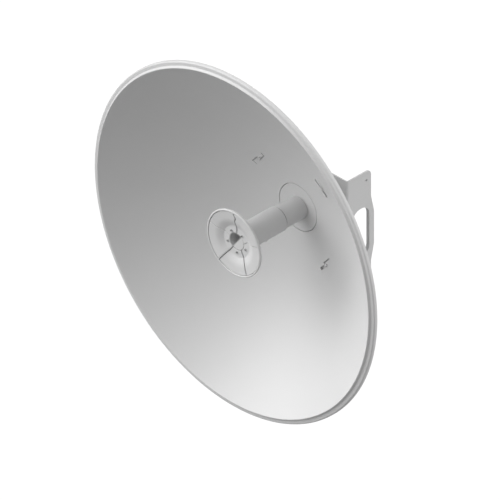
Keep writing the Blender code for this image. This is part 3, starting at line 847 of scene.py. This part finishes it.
    def wall(self) -> Surface:
        """The straight thin wall along one seam, from the rim across the mouth to its far edge.

        Its top stands wall_proud above the face at each radius, keeps just above the bead and
        dips by wall_recess below the face inside the mouth.
        """
        mouth = self.level(self.mouth_radius)
        inside = self.liner_radius - self.liner_wall - 2 * GAP
        across_mouth = np.linspace(-inside, self.mouth_radius + GAP, 24)
        over_face = np.linspace(self.mouth_radius + 2 * GAP, self.radius - self.wall_end, 72)
        along = np.concatenate((across_mouth, over_face))
        outside = along > self.mouth_radius
        face = self.level(np.abs(along))
        top = np.where(outside, face + self.wall_proud, mouth - self.wall_recess)
        top = np.where(along > self.bead_inner, self.bead_front + self.wall_over_bead, top)
        foot = np.where(outside, face - self.thickness, mouth - self.liner_depth + self.liner_wall)
        across = self.wall_sheet * np.array([-0.5, -0.35, 0.0, 0.35, 0.5])
        crown = self.wall_sheet * np.array([-0.35, -0.1, 0.0, -0.1, -0.35])
        upper, lower = (
            np.stack(np.broadcast_arrays(along[:, None], across, height), axis=-1)
            for height in (top[:, None] + crown, foot[:, None])
        )
        return slab(upper, lower)

    def liner(self) -> Surface:
        """The cup that closes the feed's mouth."""
        front = self.level(self.mouth_radius) - GAP
        floor = front - self.liner_depth
        outer, inner = self.liner_radius, self.liner_radius - self.liner_wall
        corners = [
            (0, floor, 0), (outer, floor, 0.0005), (outer, front, 0.0004), (inner, front, 0.0004),
            (inner, floor + self.liner_wall, 0.0012), (0, floor + self.liner_wall, 0),
        ]
        return turned(filleted(corners))

    def ledge(self) -> Surface:
        """The step that fills the mouth on one side of the wall, its flat side along that wall."""
        radius = self.liner_radius - self.liner_wall - GAP
        half = math.acos(self.ledge_offset / radius)
        angle = np.linspace(-half, half, 49) + math.pi / 2
        front = self.level(self.mouth_radius) - GAP
        floor = front - self.liner_depth + self.liner_wall + GAP
        outline = radius * np.column_stack((np.cos(angle), np.sin(angle)))
        return plate(outline, floor, front - self.ledge_recess)

    def build(self) -> None:
        """Makes the moulding with its bead and the dark sheet of painted seam shade, the segments with
        their screws, and the mouth.
        """
        self.add("splash_moulding", self.body(), Slot.SPLASH, "splash_body")
        self.add("splash_bead", self.bead(), Slot.SPLASH, "splash_rim")
        # A dark sheet behind the seams: painted shade that shows as dark lines in the gaps.
        self.add("painted_seam_shade", self.seal(), Slot.SEAL)
        pitch = 360 / len(self.seams)
        level = self.level(self.screw_circle) + GAP
        for number, lift in enumerate(self.lifts):
            count = number + 1
            self.add(f"splash_face_{count}", self.segment(number), Slot.SPLASH, f"splash_segment_{count}")
            spot = self.face.spun(self.seams[0].degrees + (number + 0.5) * pitch)
            head = self.screw.surface().at(spot.moved(right=self.screw_circle, ahead=level + lift))
            self.bench.add(f"face_screw_{count}", head, Slot.FASTENER, f"splash_screw_{count}")
        self.add("mouth_liner", self.liner(), Slot.BORE, "bore_liner")
        along = self.face.spun(self.seams[3].degrees)
        ledge = self.bench.add("mouth_ledge", self.ledge().at(along), Slot.SPLASH, "bore_ledge")
        round_edges(ledge, self.ledge_round)
        self.bench.add("mouth_wall", self.wall().at(along), Slot.SPLASH, "bore_septum")


@dataclass
class RearFrame(SubAssembly):
    """Folded steel frame behind the bowl, with its window wings and the hooks in the slots."""

    edge: float = 0.0005
    hook_edge: float = 0.0003
    nut_back: float = 0.028
    nut_height: float = 0.099
    nut_shoulder: float = 0.0025
    nut_bore: float = 0.0018
    nut_body: float = 0.0044
    nut_length: float = 0.0045
    sheet: float = 0.0025

    def press_nut(self) -> Surface:
        """A press nut: its collar ends just inside the hole's mouth, its body stands behind."""
        rear = -self.sheet - GAP
        end = rear - self.nut_length
        corners = [
            (self.nut_bore, -GAP, 0.0002), (self.nut_shoulder, -GAP, 0.0002),
            (self.nut_shoulder, rear, 0), (self.nut_body, rear, 0.0003),
            (self.nut_body, end, 0.0005), (self.nut_bore, end, 0.0003),
        ]
        return turned(ring(corners), 36)

    def build(self) -> None:
        """Rounds the edges of the web, the wings and the hooks, and fills the wings' small holes."""
        self.bench.soften("frame_web", "web_plate", Slot.FRAME, self.edge)
        for side in ("left", "right"):
            self.bench.soften(f"frame_wing_{side}", f"wing_plate_{side}", Slot.FRAME, self.edge)
        for number in range(1, 5):
            self.bench.soften(f"frame_hook_{number}", f"hook_{number}", Slot.FRAME, self.hook_edge)
        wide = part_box("frame_wing_right")[1].x
        for side, sign in (("left", -1.0), ("right", 1.0)):
            for level, height in (("upper", self.nut_height), ("lower", -self.nut_height)):
                centre = self.face.lay(np.array([sign * wide, height, -self.nut_back]))
                outward = Place(tuple(centre), (0.0, sign, 0.0), Z_AXIS)
                self.bench.add(f"press_nut_{side}_{level}", self.press_nut().at(outward), Slot.FRAME)


@dataclass(frozen=True)
class Fastener:
    """A flanged hex bolt with its nut, laid out along its own axis from the face under the head."""

    shank_radius: float = 0.004
    flats: float = 0.013
    flange_radius: float = 0.0086
    flange_height: float = 0.0012
    head_height: float = 0.0053
    pitch: float = 0.00125
    flange_foot: float = 0.2
    flange_wall: float = 0.4
    soft: float = 0.0004
    cone: float = 0.0008
    chamfer: float = 0.0005

    def bolt(self, length: float) -> Surface:
        """The bolt: a hexagon cut by a cone on a round flange, and the threaded shank under it."""
        half, wide, tall = 0.5 * self.flats, HEX_CORNER * self.flats, self.head_height
        neck, wall = self.shank_radius - self.chamfer, self.flange_wall * self.flange_height
        head = [(0, 0), (half, 0), (wide, 0), (wide, tall - self.cone), (half, tall), (0, tall)]
        lifted = np.array(head) + np.array([0, self.flange_foot * self.flange_height])
        flange = [
            (neck, 0, 0), (self.flange_radius, 0, self.soft),
            (self.flange_radius, wall, self.soft), (neck, self.flange_height, 0),
        ]
        thread = threaded(self.shank_radius, 0, length, self.pitch)
        below = Surface(thread.points * np.array([1, -1, -1]), thread.faces).outward()
        return turned(lifted, 48, self.flats) + turned(ring(flange), 48) + below

    def nut(self, height: float) -> Surface:
        """A hex nut, chamfered at both ends, round its threaded hole."""
        half, wide, bore = 0.5 * self.flats, HEX_CORNER * self.flats, self.shank_radius + GAP
        cone, cut = self.cone, self.chamfer
        profile = [
            (bore + cut, 0), (half, 0), (wide, cone), (wide, height - cone), (half, height),
            (bore + cut, height), (bore, height - cut), (bore, cut),
        ]
        return turned(np.array(profile), 48, self.flats)


@dataclass
class PoleMount(SubAssembly):
    """Cross channels, tilt cheeks and pole bracket, with the bolts that hold the tilt."""

    edge: float = 0.0005
    fastener: Fastener = Fastener()

    def build(self) -> None:
        """Rounds the edges of the sheet pieces and makes the bolts and nuts."""
        for level in ("upper", "lower"):
            self.bench.soften(f"cross_channel_{level}", f"channel_{level}", Slot.MOUNT, self.edge)
        for side in ("left", "right"):
            self.bench.soften(f"tilt_cheek_{side}", f"cheek_{side}", Slot.MOUNT, self.edge)
        self.bench.soften("pole_bracket", "pole_bracket_plate", Slot.MOUNT, self.edge)
        for side, outward in (("left", -1.0), ("right", 1.0)):
            for kind in ("pivot", "lock"):
                self.fasten(kind, side, outward)

    def fasten(self, kind: str, side: str, outward: float) -> None:
        """Makes one bolt and its nut where the frame has them.

        Args:
            kind: pivot or lock.
            side: left or right.
            outward: the sign of X on that side.
        """
        bolt_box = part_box(f"{kind}_bolt_{side}")
        nut_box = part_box(f"{kind}_nut_{side}")
        centre = middle(bolt_box)
        ends = sorted((outward * bolt_box[0].x, outward * bolt_box[1].x))
        seat = ends[1] - self.fastener.head_height
        axis = Place((outward * seat, centre.y, centre.z), (0.0, -outward, 0.0), (0.0, 0.0, -1.0))
        bolt = self.fastener.bolt(seat - ends[0]).at(axis)
        self.bench.add(f"{kind}_hex_bolt_{side}", bolt, Slot.FASTENER, f"{kind}_bolt_{side}")
        near = min(outward * nut_box[0].x, outward * nut_box[1].x)
        nut = self.fastener.nut(nut_box[1].x - nut_box[0].x).at(axis.moved(ahead=near - seat))
        self.bench.add(f"{kind}_hex_nut_{side}", nut, Slot.FASTENER, f"{kind}_nut_{side}")


@dataclass
class FeedRear(SubAssembly):
    """What holds the feed behind the bowl: clamp ring, housing and the two sockets."""

    sheet: float = 0.002
    clamp_inner: float = 0.0358
    clamp_radius: float = 0.050
    clamp_step: float = 0.0437
    clamp_shoulder: float = 0.005
    clamp_back: float = 0.0077
    clamp_slope: float = 0.0035
    clamp_screws: int = 6
    clamp_screw: ScrewHead = ScrewHead(0.0032, 0.0022, 0.0016)
    screw_lift: float = 0.0001
    housing_radius: float = 0.030
    housing_front: float = 0.0083
    housing_back: float = 0.038
    housing_round: float = 0.004
    groove_back: float = 0.0315
    groove_depth: float = 0.0008
    socket_spread: float = 0.013
    socket_length: float = 0.017
    socket_radius: float = 0.006
    socket_bore: float = 0.0042
    socket_depth: float = 0.009
    socket_pitch: float = 0.00106
    thread_share: float = 0.5
    plain_base: float = 0.002
    plain_cut: float = 0.6
    hex_height: float = 0.0035
    hex_flats: float = 0.01386
    hex_cone: float = 0.0006
    core_height: float = 0.003
    stub_radius: float = 0.0016
    stub_height: float = 0.0065

    def clamp(self, seat: float) -> Surface:
        """The cast ring that clamps the hub's edge from behind, with rounded shoulders."""
        back, sheet = self.clamp_back, self.sheet + GAP
        inner, outer, step = self.clamp_inner, self.clamp_radius, self.clamp_step
        corners = [
            (inner, sheet, 0), (step, sheet, 0), (step, seat, 0), (outer, seat, 0.0006),
            (outer, self.clamp_shoulder, 0.0020), (outer - self.clamp_slope, back, 0.0010),
            (inner, back, 0.0006),
        ]
        return turned(ring(corners), 144)

    def housing(self) -> Surface:
        """The housing, with rounded edges and the groove where its lid closes."""
        wide, front, back = self.housing_radius, self.housing_front, self.housing_back
        groove, deep = self.groove_back, self.groove_depth
        corners = [
            (0, front, 0), (wide, front, 0.0012),
            (wide, groove - deep, 0.0003), (wide - deep, groove - deep / 2, 0.0002),
            (wide - deep, groove + deep / 2, 0.0002), (wide, groove + deep, 0.0003),
            (wide, back, self.housing_round), (0, back, 0),
        ]
        return turned(filleted(corners), 144)

    def socket(self) -> Surface:
        """A coaxial socket: chamfered hex base, then a threaded barrel round an open bore."""
        half, wide, tall = 0.5 * self.hex_flats, HEX_CORNER * self.hex_flats, self.hex_height
        base = np.array([(0, 0), (wide, 0), (wide, tall - self.hex_cone), (half, tall), (0, tall)])
        return turned(base, 48, self.hex_flats) + self.barrel()

    def barrel(self) -> Surface:
        """The barrel: r is the thread's triangle wave outside, and a plain bore inside.

        Rows go up the outside, over the rim and down the bore to its floor.
        """
        low, high, pitch = 0.5 * self.hex_height, self.socket_length, self.socket_pitch
        angle = turn(36)
        height = np.linspace(low, high, 96)[:, None]
        plain = (height < self.hex_height + self.plain_base) | (height > high - pitch)
        cut = np.where(plain, self.plain_cut, thread_wave(height, angle, pitch))
        outside = self.socket_radius - self.thread_share * pitch * cut
        floor = high - self.socket_depth
        inside = np.array([(self.socket_bore, high), (self.socket_bore, floor), (0, floor)])
        radius = np.vstack((0 * angle, outside, np.repeat(inside[:, :1], len(angle), axis=1)))
        level = np.vstack(([[low]], height, inside[:, 1:]))
        return grid(polar(radius, angle, level), wrap_columns=True).outward()

    def core(self) -> Surface:
        """The insulator in the socket's bore, with the contact's stub in its middle."""
        floor = self.socket_length - self.socket_depth
        level, tip = floor + self.core_height, floor + self.stub_height
        outer, stub = self.socket_bore - GAP, self.stub_radius
        corners = [
            (0, floor + GAP, 0), (outer, floor + GAP, 0), (outer, level, 0.0003),
            (stub, level, 0.0002), (stub, tip, 0.0004), (0, tip, 0),
        ]
        return turned(filleted(corners), 36)

    def build(self) -> None:
        """Makes the clamp ring with its screws, the housing and both sockets with their cores."""
        seat = self.face.origin[1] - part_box("hub_clamp_ring")[0].y
        back = replace(self.face, right=tuple(-np.array(self.face.right)))
        self.bench.add("clamp_ring", self.clamp(-seat).at(back), Slot.CAST, "hub_clamp_ring")
        circle = (self.clamp_inner + self.clamp_radius) / 2
        for number in range(self.clamp_screws):
            spot = back.spun(number * 360 / self.clamp_screws)
            spot = spot.moved(right=circle, ahead=self.clamp_back + self.screw_lift)
            self.bench.add(f"clamp_screw_{number + 1}", self.clamp_screw.surface().at(spot), Slot.FASTENER)
        self.bench.add("feed_housing_body", self.housing().at(back), Slot.HOUSING, "feed_housing")
        for side, sign in (("left", 1.0), ("right", -1.0)):
            spot = back.moved(right=sign * self.socket_spread, ahead=self.housing_back + GAP)
            socket = self.socket().at(spot)
            self.bench.add(f"rf_socket_{side}", socket, Slot.BRASS, f"rf_connector_{side}")
            self.bench.add(f"rf_socket_core_{side}", self.core().at(spot), Slot.SPLASH)


Value = Union["Wire", float, Sequence[float]]


class Wire:
    """A value on its way through a node tree. Operators on it add Math nodes."""

    def __init__(self, graph: "Graph", socket: bpy.types.NodeSocket) -> None:
        """Wraps one output socket."""
        self.graph = graph
        self.socket = socket

    def maths(self, operation: str, *values: Value) -> "Wire":
        """Adds one Math node."""
        return self.graph.add("ShaderNodeMath", {"operation": operation}, dict(enumerate(values)))

    def __add__(self, other: Value) -> "Wire":
        """Their sum."""
        return self.maths("ADD", self, other)

    def __radd__(self, other: Value) -> "Wire":
        """Their sum."""
        return self.maths("ADD", other, self)

    def __mul__(self, other: Value) -> "Wire":
        """Their product."""
        return self.maths("MULTIPLY", self, other)

    def __rmul__(self, other: Value) -> "Wire":
        """Their product."""
        return self.maths("MULTIPLY", other, self)

    def __pow__(self, other: Value) -> "Wire":
        """This to the power of the other."""
        return self.maths("POWER", self, other)

    def __rpow__(self, other: Value) -> "Wire":
        """The other to the power of this."""
        return self.maths("POWER", other, self)

    def at_least(self, other: Value) -> "Wire":
        """The larger of the two."""
        return self.maths("MAXIMUM", self, other)


class Graph:
    """A node tree under construction."""

    def __init__(self, owner: Union[bpy.types.Material, bpy.types.World]) -> None:
        """Turns on the owner's nodes and clears them."""
        owner.use_nodes = True
        self.tree = owner.node_tree
        self.tree.nodes.clear()

    def add(
        self,
        kind: str,
        settings: Union[dict, None] = None,
        values: Union[dict, None] = None,
        output: Union[int, str] = 0,
    ) -> Wire:
        """Adds any node.

        Args:
            kind: the node's type.
            settings: its properties, which are set first.
            values: a number, colour or Wire for each socket, by its name, identifier or index.
            output: which output the result is.

        Returns:
            A Wire from that output, which holds None for a node without outputs.
        """
        node = self.tree.nodes.new(kind)
        for key, value in (settings or {}).items():
            setattr(node, key, value)
        for key, value in (values or {}).items():
            socket = self.find(node.inputs, key)
            if isinstance(value, Wire):
                self.tree.links.new(value.socket, socket)
            else:
                socket.default_value = value
        return Wire(self, self.find(node.outputs, output) if len(node.outputs) else None)

    @staticmethod
    def find(sockets: Sequence[bpy.types.NodeSocket], key: Union[int, str]) -> bpy.types.NodeSocket:
        """The socket with that index, identifier or name."""
        if isinstance(key, int):
            return sockets[key]
        return next(socket for socket in sockets if key in (socket.identifier, socket.name))

    def place(self) -> Wire:
        """Object coordinates."""
        return self.add("ShaderNodeTexCoord", output="Object")

    def spots(self, size: float, detail: float = 2.0) -> Wire:
        """Noise on Object coordinates whose spots are about this size in metres."""
        values = {"Vector": self.place(), "Scale": 1 / size, "Detail": detail}
        return self.add("ShaderNodeTexNoise", values=values)

    def cells(self, place: Wire, size: float, output: str = "Distance") -> Wire:
        """Voronoi cells of about this size in metres."""
        values = {"Vector": place, "Scale": 1 / size}
        return self.add("ShaderNodeTexVoronoi", values=values, output=output)

    def blend(self, factor: Value, first: Triple, second: Triple) -> Wire:
        """One colour into another through a Mix node."""
        values = {"Factor_Float": factor, "A_Color": (*first, 1), "B_Color": (*second, 1)}
        return self.add("ShaderNodeMix", {"data_type": "RGBA"}, values, "Result_Color")

    def bump(self, height: Value, distance: float) -> Wire:
        """A Bump node that turns a 0 to 1 height into relief this deep in metres."""
        return self.add("ShaderNodeBump", values={"Height": height, "Distance": distance, "Strength": 1.0})

    def surface(self, values: dict) -> None:
        """Ends the tree in a Principled shader with these socket values."""
        shader = self.add("ShaderNodeBsdfPrincipled", values=values)
        self.add("ShaderNodeOutputMaterial", values={"Surface": shader})


@dataclass(frozen=True)
class Finish:
    """What every finish has: patches of colour and gloss, over a fine relief.

    The shift is by which shares the colour is darker and lighter, the patch is the size and detail
    of its spots, the haze how far they change the roughness, and the grain the relief's size and
    depth.
    """

    slot: Slot
    colour: Triple
    roughness: float = 0.5
    grain: Pair = (0.001, 0.00002)
    patch: Pair = (0.01, 3)
    shift: Pair = (-0.1, 0.1)
    haze: float = 0.1
    metallic: float = 0.0
    specular: float = 0.5

    def shades(self) -> list[Triple]:
        """The darker and the lighter colour."""
        return [tuple(min(1.0, channel * (1 + share)) for channel in self.colour) for share in self.shift]

    def relief(self, graph: Graph) -> Wire:
        """The pattern of the relief, plain noise."""
        return graph.spots(self.grain[0])

    def gloss(self, graph: Graph, patches: Wire) -> Wire:
        """The pattern that the roughness follows, the colour's own patches."""
        return patches

    def material(self) -> bpy.types.Material:
        """The material, whose roughness runs haze / 2 below and above its middle value."""
        material = bpy.data.materials.new(self.slot.value + "_finish")
        graph = Graph(material)
        patches = graph.spots(*self.patch)
        graph.surface(
            {
                "Base Color": graph.blend(patches, *self.shades()),
                "Metallic": self.metallic,
                "Roughness": self.gloss(graph, patches) * self.haze + (self.roughness - self.haze / 2),
                "Normal": graph.bump(self.relief(graph), self.grain[1]),
                "Specular IOR Level": self.specular,
            }
        )
        return material


@dataclass(frozen=True)
class PowderCoat(Finish):
    """Satin powder coat: faint orange peel, and colour and gloss that drift a little."""

    roughness: float = 0.48
    grain: Pair = (0.0011, 0.00002)
    patch: Pair = (0.09, 3)
    shift: Pair = (-0.012, 0.012)
    haze: float = 0.08
    specular: float = 0.45
    gloss_patch: float = 0.012

    def gloss(self, graph: Graph, patches: Wire) -> Wire:
        """The gloss drifts by itself, in smaller patches than the colour."""
        return graph.spots(self.gloss_patch)


@dataclass(frozen=True)
class MouldedPlastic(Finish):
    """Moulded plastic: fine spark-eroded grain, faint flow marks and a soft sheen."""

    roughness: float = 0.52
    grain: Pair = (0.0005, 0.000025)
    patch: Pair = (0.02, 3)
    shift: Pair = (-0.015, 0.015)

    def relief(self, graph: Graph) -> Wire:
        """Voronoi cells make the grain."""
        return graph.cells(graph.place(), self.grain[0])


@dataclass(frozen=True)
class PlatedMetal(Finish):
    """Plated and machined metal: bright, with fine scratches and patches of haze."""

    roughness: float = 0.30
    grain: Pair = (0.0004, 0.00001)
    patch: Pair = (0.004, 3)
    shift: Pair = (-0.1, 0.08)
    haze: float = 0.18
    metallic: float = 1.0


@dataclass(frozen=True)
class CastMetal(Finish):
    """Cast and bead-blasted alloy: a pebbled skin with dull patches."""

    roughness: float = 0.49
    grain: Pair = (0.0009, 0.00006)
    patch: Pair = (0.01, 4)
    shift: Pair = (-0.08, 0.08)
    haze: float = 0.14
    metallic: float = 0.65


@dataclass(frozen=True)
class Rubber(Finish):
    """Matt black sealing rubber with a dusty bloom."""

    roughness: float = 0.83
    grain: Pair = (0.0004, 0.00002)
    patch: Pair = (0.006, 3)
    shift: Pair = (0.0, 0.6)


@dataclass(frozen=True)
class Galvanised(Finish):
    """Hot-dip galvanised steel: interlocking spangles of slightly different brightness."""

    roughness: float = 0.32
    grain: Pair = (0.0015, 0.00003)
    shift: Pair = (-0.16, 0.16)
    haze: float = 0.16
    metallic: float = 0.75
    spangle: float = 0.007
    warp: Pair = (180.0, 0.004)
    rub: float = 0.08

    def material(self) -> bpy.types.Material:
        """The material, in which each Voronoi cell's random grey drives colour and roughness."""
        material = bpy.data.materials.new(self.slot.value + "_finish")
        graph = Graph(material)
        place = graph.place()
        scale, reach = self.warp
        noise = graph.add("ShaderNodeTexNoise", values={"Vector": place, "Scale": scale}, output="Color")
        values = {0: noise, 1: (reach, reach, reach), 2: place}
        bent = graph.add("ShaderNodeVectorMath", {"operation": "MULTIPLY_ADD"}, values)
        spangles = graph.cells(bent, self.spangle, "Color")
        tone = graph.add("ShaderNodeSeparateColor", values={0: spangles})
        fine = self.relief(graph)
        graph.surface(
            {
                "Base Color": graph.blend(tone, *self.shades()),
                "Metallic": self.metallic,
                "Roughness": tone * self.haze + fine * self.rub + self.roughness,
                "Normal": graph.bump(fine, self.grain[1]),
            }
        )
        return material


def make_finishes() -> dict[Slot, bpy.types.Material]:
    """One material for each slot."""
    finishes = (
        PowderCoat(Slot.DISH, (0.70, 0.70, 0.70), 0.38),
        PowderCoat(Slot.HUB, (0.69, 0.69, 0.69)),
        PowderCoat(Slot.FRAME, (0.66, 0.66, 0.66)),
        MouldedPlastic(Slot.FEED, (0.62, 0.62, 0.62)),
        MouldedPlastic(Slot.SPLASH, (0.72, 0.72, 0.72)),
        MouldedPlastic(Slot.BORE, (0.50, 0.50, 0.50), 0.6),
        MouldedPlastic(Slot.HOUSING, (0.58, 0.585, 0.59), 0.55, (0.0008, 0.00004)),
        # This dark rubber also colours the sheet of painted shade behind the splash plate's seams.
        Rubber(Slot.SEAL, (0.10, 0.10, 0.105)),
        Galvanised(Slot.MOUNT, (0.56, 0.57, 0.58)),
        CastMetal(Slot.CAST, (0.52, 0.52, 0.53)),
        PlatedMetal(Slot.FASTENER, (0.60, 0.60, 0.60)),
        PlatedMetal(Slot.BRASS, (0.76, 0.60, 0.32), 0.26),
    )
    return {finish.slot: finish.material() for finish in finishes}


def heading(azimuth: float, elevation: float) -> Array:
    """The direction at these degrees. Azimuth 0 is in front of the dish, along -Y, and 90 is +X."""
    azimuth, elevation = math.radians(azimuth), math.radians(elevation)
    flat = math.cos(elevation)
    return np.array([flat * math.sin(azimuth), -flat * math.cos(azimuth), math.sin(elevation)])


@dataclass(frozen=True)
class Glow:
    """A soft light in the sky: strength times the cosine from its direction, to a power."""

    azimuth: float
    elevation: float
    strength: float
    power: float


@dataclass
class Studio:
    """White surroundings: a sky of soft glows that lights the object, and a pale floor."""

    ambient: float = 0.30
    glows: tuple[Glow, ...] = (Glow(-57, 32, 4.3, 8), Glow(0, 62, 0.4, 6), Glow(135, 20, 2.2, 6))
    white: float = 1.05
    floor_drop: float = 1.6
    floor_radius: float = 30.0

    def light(self) -> None:
        """Fills the world: the ambient light plus each glow, and plain white for the camera."""
        world = bpy.data.worlds.new("studio_sky")
        bpy.context.scene.world = world
        graph = Graph(world)
        direction = graph.add("ShaderNodeTexCoord", output="Generated")
        total: Value = self.ambient
        for glow in self.glows:
            values = {0: direction, 1: tuple(heading(glow.azimuth, glow.elevation))}
            cosine = graph.add("ShaderNodeVectorMath", {"operation": "DOT_PRODUCT"}, values, "Value")
            total = total + cosine.at_least(0.0) ** glow.power * glow.strength
        sky, white = (
            graph.add("ShaderNodeBackground", values={"Color": (1, 1, 1, 1), "Strength": strength})
            for strength in (total, self.white)
        )
        seen = graph.add("ShaderNodeLightPath", output="Is Camera Ray")
        both = graph.add("ShaderNodeMixShader", values={0: seen, 1: sky, 2: white})
        graph.add("ShaderNodeOutputWorld", values={"Surface": both})

    def lay_floor(self) -> None:
        """A round pale floor far below, seen from above only and left out of the bounced light."""
        edge = polar(self.floor_radius, turn(64), -self.floor_drop)
        mesh = bpy.data.meshes.new("studio_floor")
        mesh.from_pydata(edge.tolist(), [], [list(range(len(edge)))])
        floor = linked("studio_floor", mesh)
        material = bpy.data.materials.new("studio_floor")
        graph = Graph(material)
        values = {"Color": (1, 1, 1, 1), "Strength": self.white}
        white = graph.add("ShaderNodeEmission", values=values)
        clear = graph.add("ShaderNodeBsdfTransparent")
        below = graph.add("ShaderNodeNewGeometry", output="Backfacing")
        both = graph.add("ShaderNodeMixShader", values={0: below, 1: white, 2: clear})
        graph.add("ShaderNodeOutputMaterial", values={"Surface": both})
        mesh.materials.append(material)
        for ray in ("visible_diffuse", "visible_glossy", "visible_transmission", "visible_shadow"):
            setattr(floor, ray, False)

    def build(self) -> None:
        """Lights the scene, lays the floor and leaves colours as they are rendered."""
        self.light()
        self.lay_floor()
        bpy.context.scene.view_settings.view_transform = "Standard"


@dataclass
class Viewpoint:
    """The photograph's view, which is as good as parallel: width is what the frame takes in."""

    azimuth: float = 44.9
    elevation: float = 34.0
    distance: float = 8.0
    width: float = 0.82085
    vertex_right: float = 0.08095
    vertex_up: float = 0.07118

    def build(self, vertex: Array) -> None:
        """Places the camera so that the vertex lies at its place right of and above the middle.

        Args:
            vertex: the dish's vertex.
        """
        back = heading(self.azimuth, self.elevation)
        right = heading(self.azimuth + 90, 0)
        up = np.cross(back, right)
        aim = vertex - self.vertex_right * right - self.vertex_up * up
        data = bpy.data.cameras.new("photo_camera")
        data.type = "ORTHO"
        data.ortho_scale = self.width
        data.clip_end = 60
        camera = linked("photo_camera", data)
        axes = Matrix((right, up, back)).transposed()
        camera.matrix_world = Matrix.Translation(aim + self.distance * back) @ axes.to_4x4()
        bpy.context.scene.camera = camera


def main() -> None:
    """Loads the frame, builds every sub-assembly, the studio and the camera, and logs the number of pieces.
    """
    logging.basicConfig(level=logging.INFO, format="%(message)s")
    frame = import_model()
    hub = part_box("hub_flange")
    bench = Bench(frame["nodes"], make_finishes())
    axis = middle(hub)
    vertex = (axis.x, hub[1].y - HubAndFeed.boss_back, axis.z)
    face = Place(vertex, X_AXIS, Z_AXIS)
    reflector = Reflector(bench, face)
    reflector.build()
    HubAndFeed(bench, face, reflector).build()
    for part in (SplashPlate, RearFrame, PoleMount, FeedRear):
        part(bench, face).build()
    Studio().build()
    Viewpoint().build(np.array(vertex))
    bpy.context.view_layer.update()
    log.info("%d pieces in all", bench.pieces)


if __name__ == "__main__":
    main()
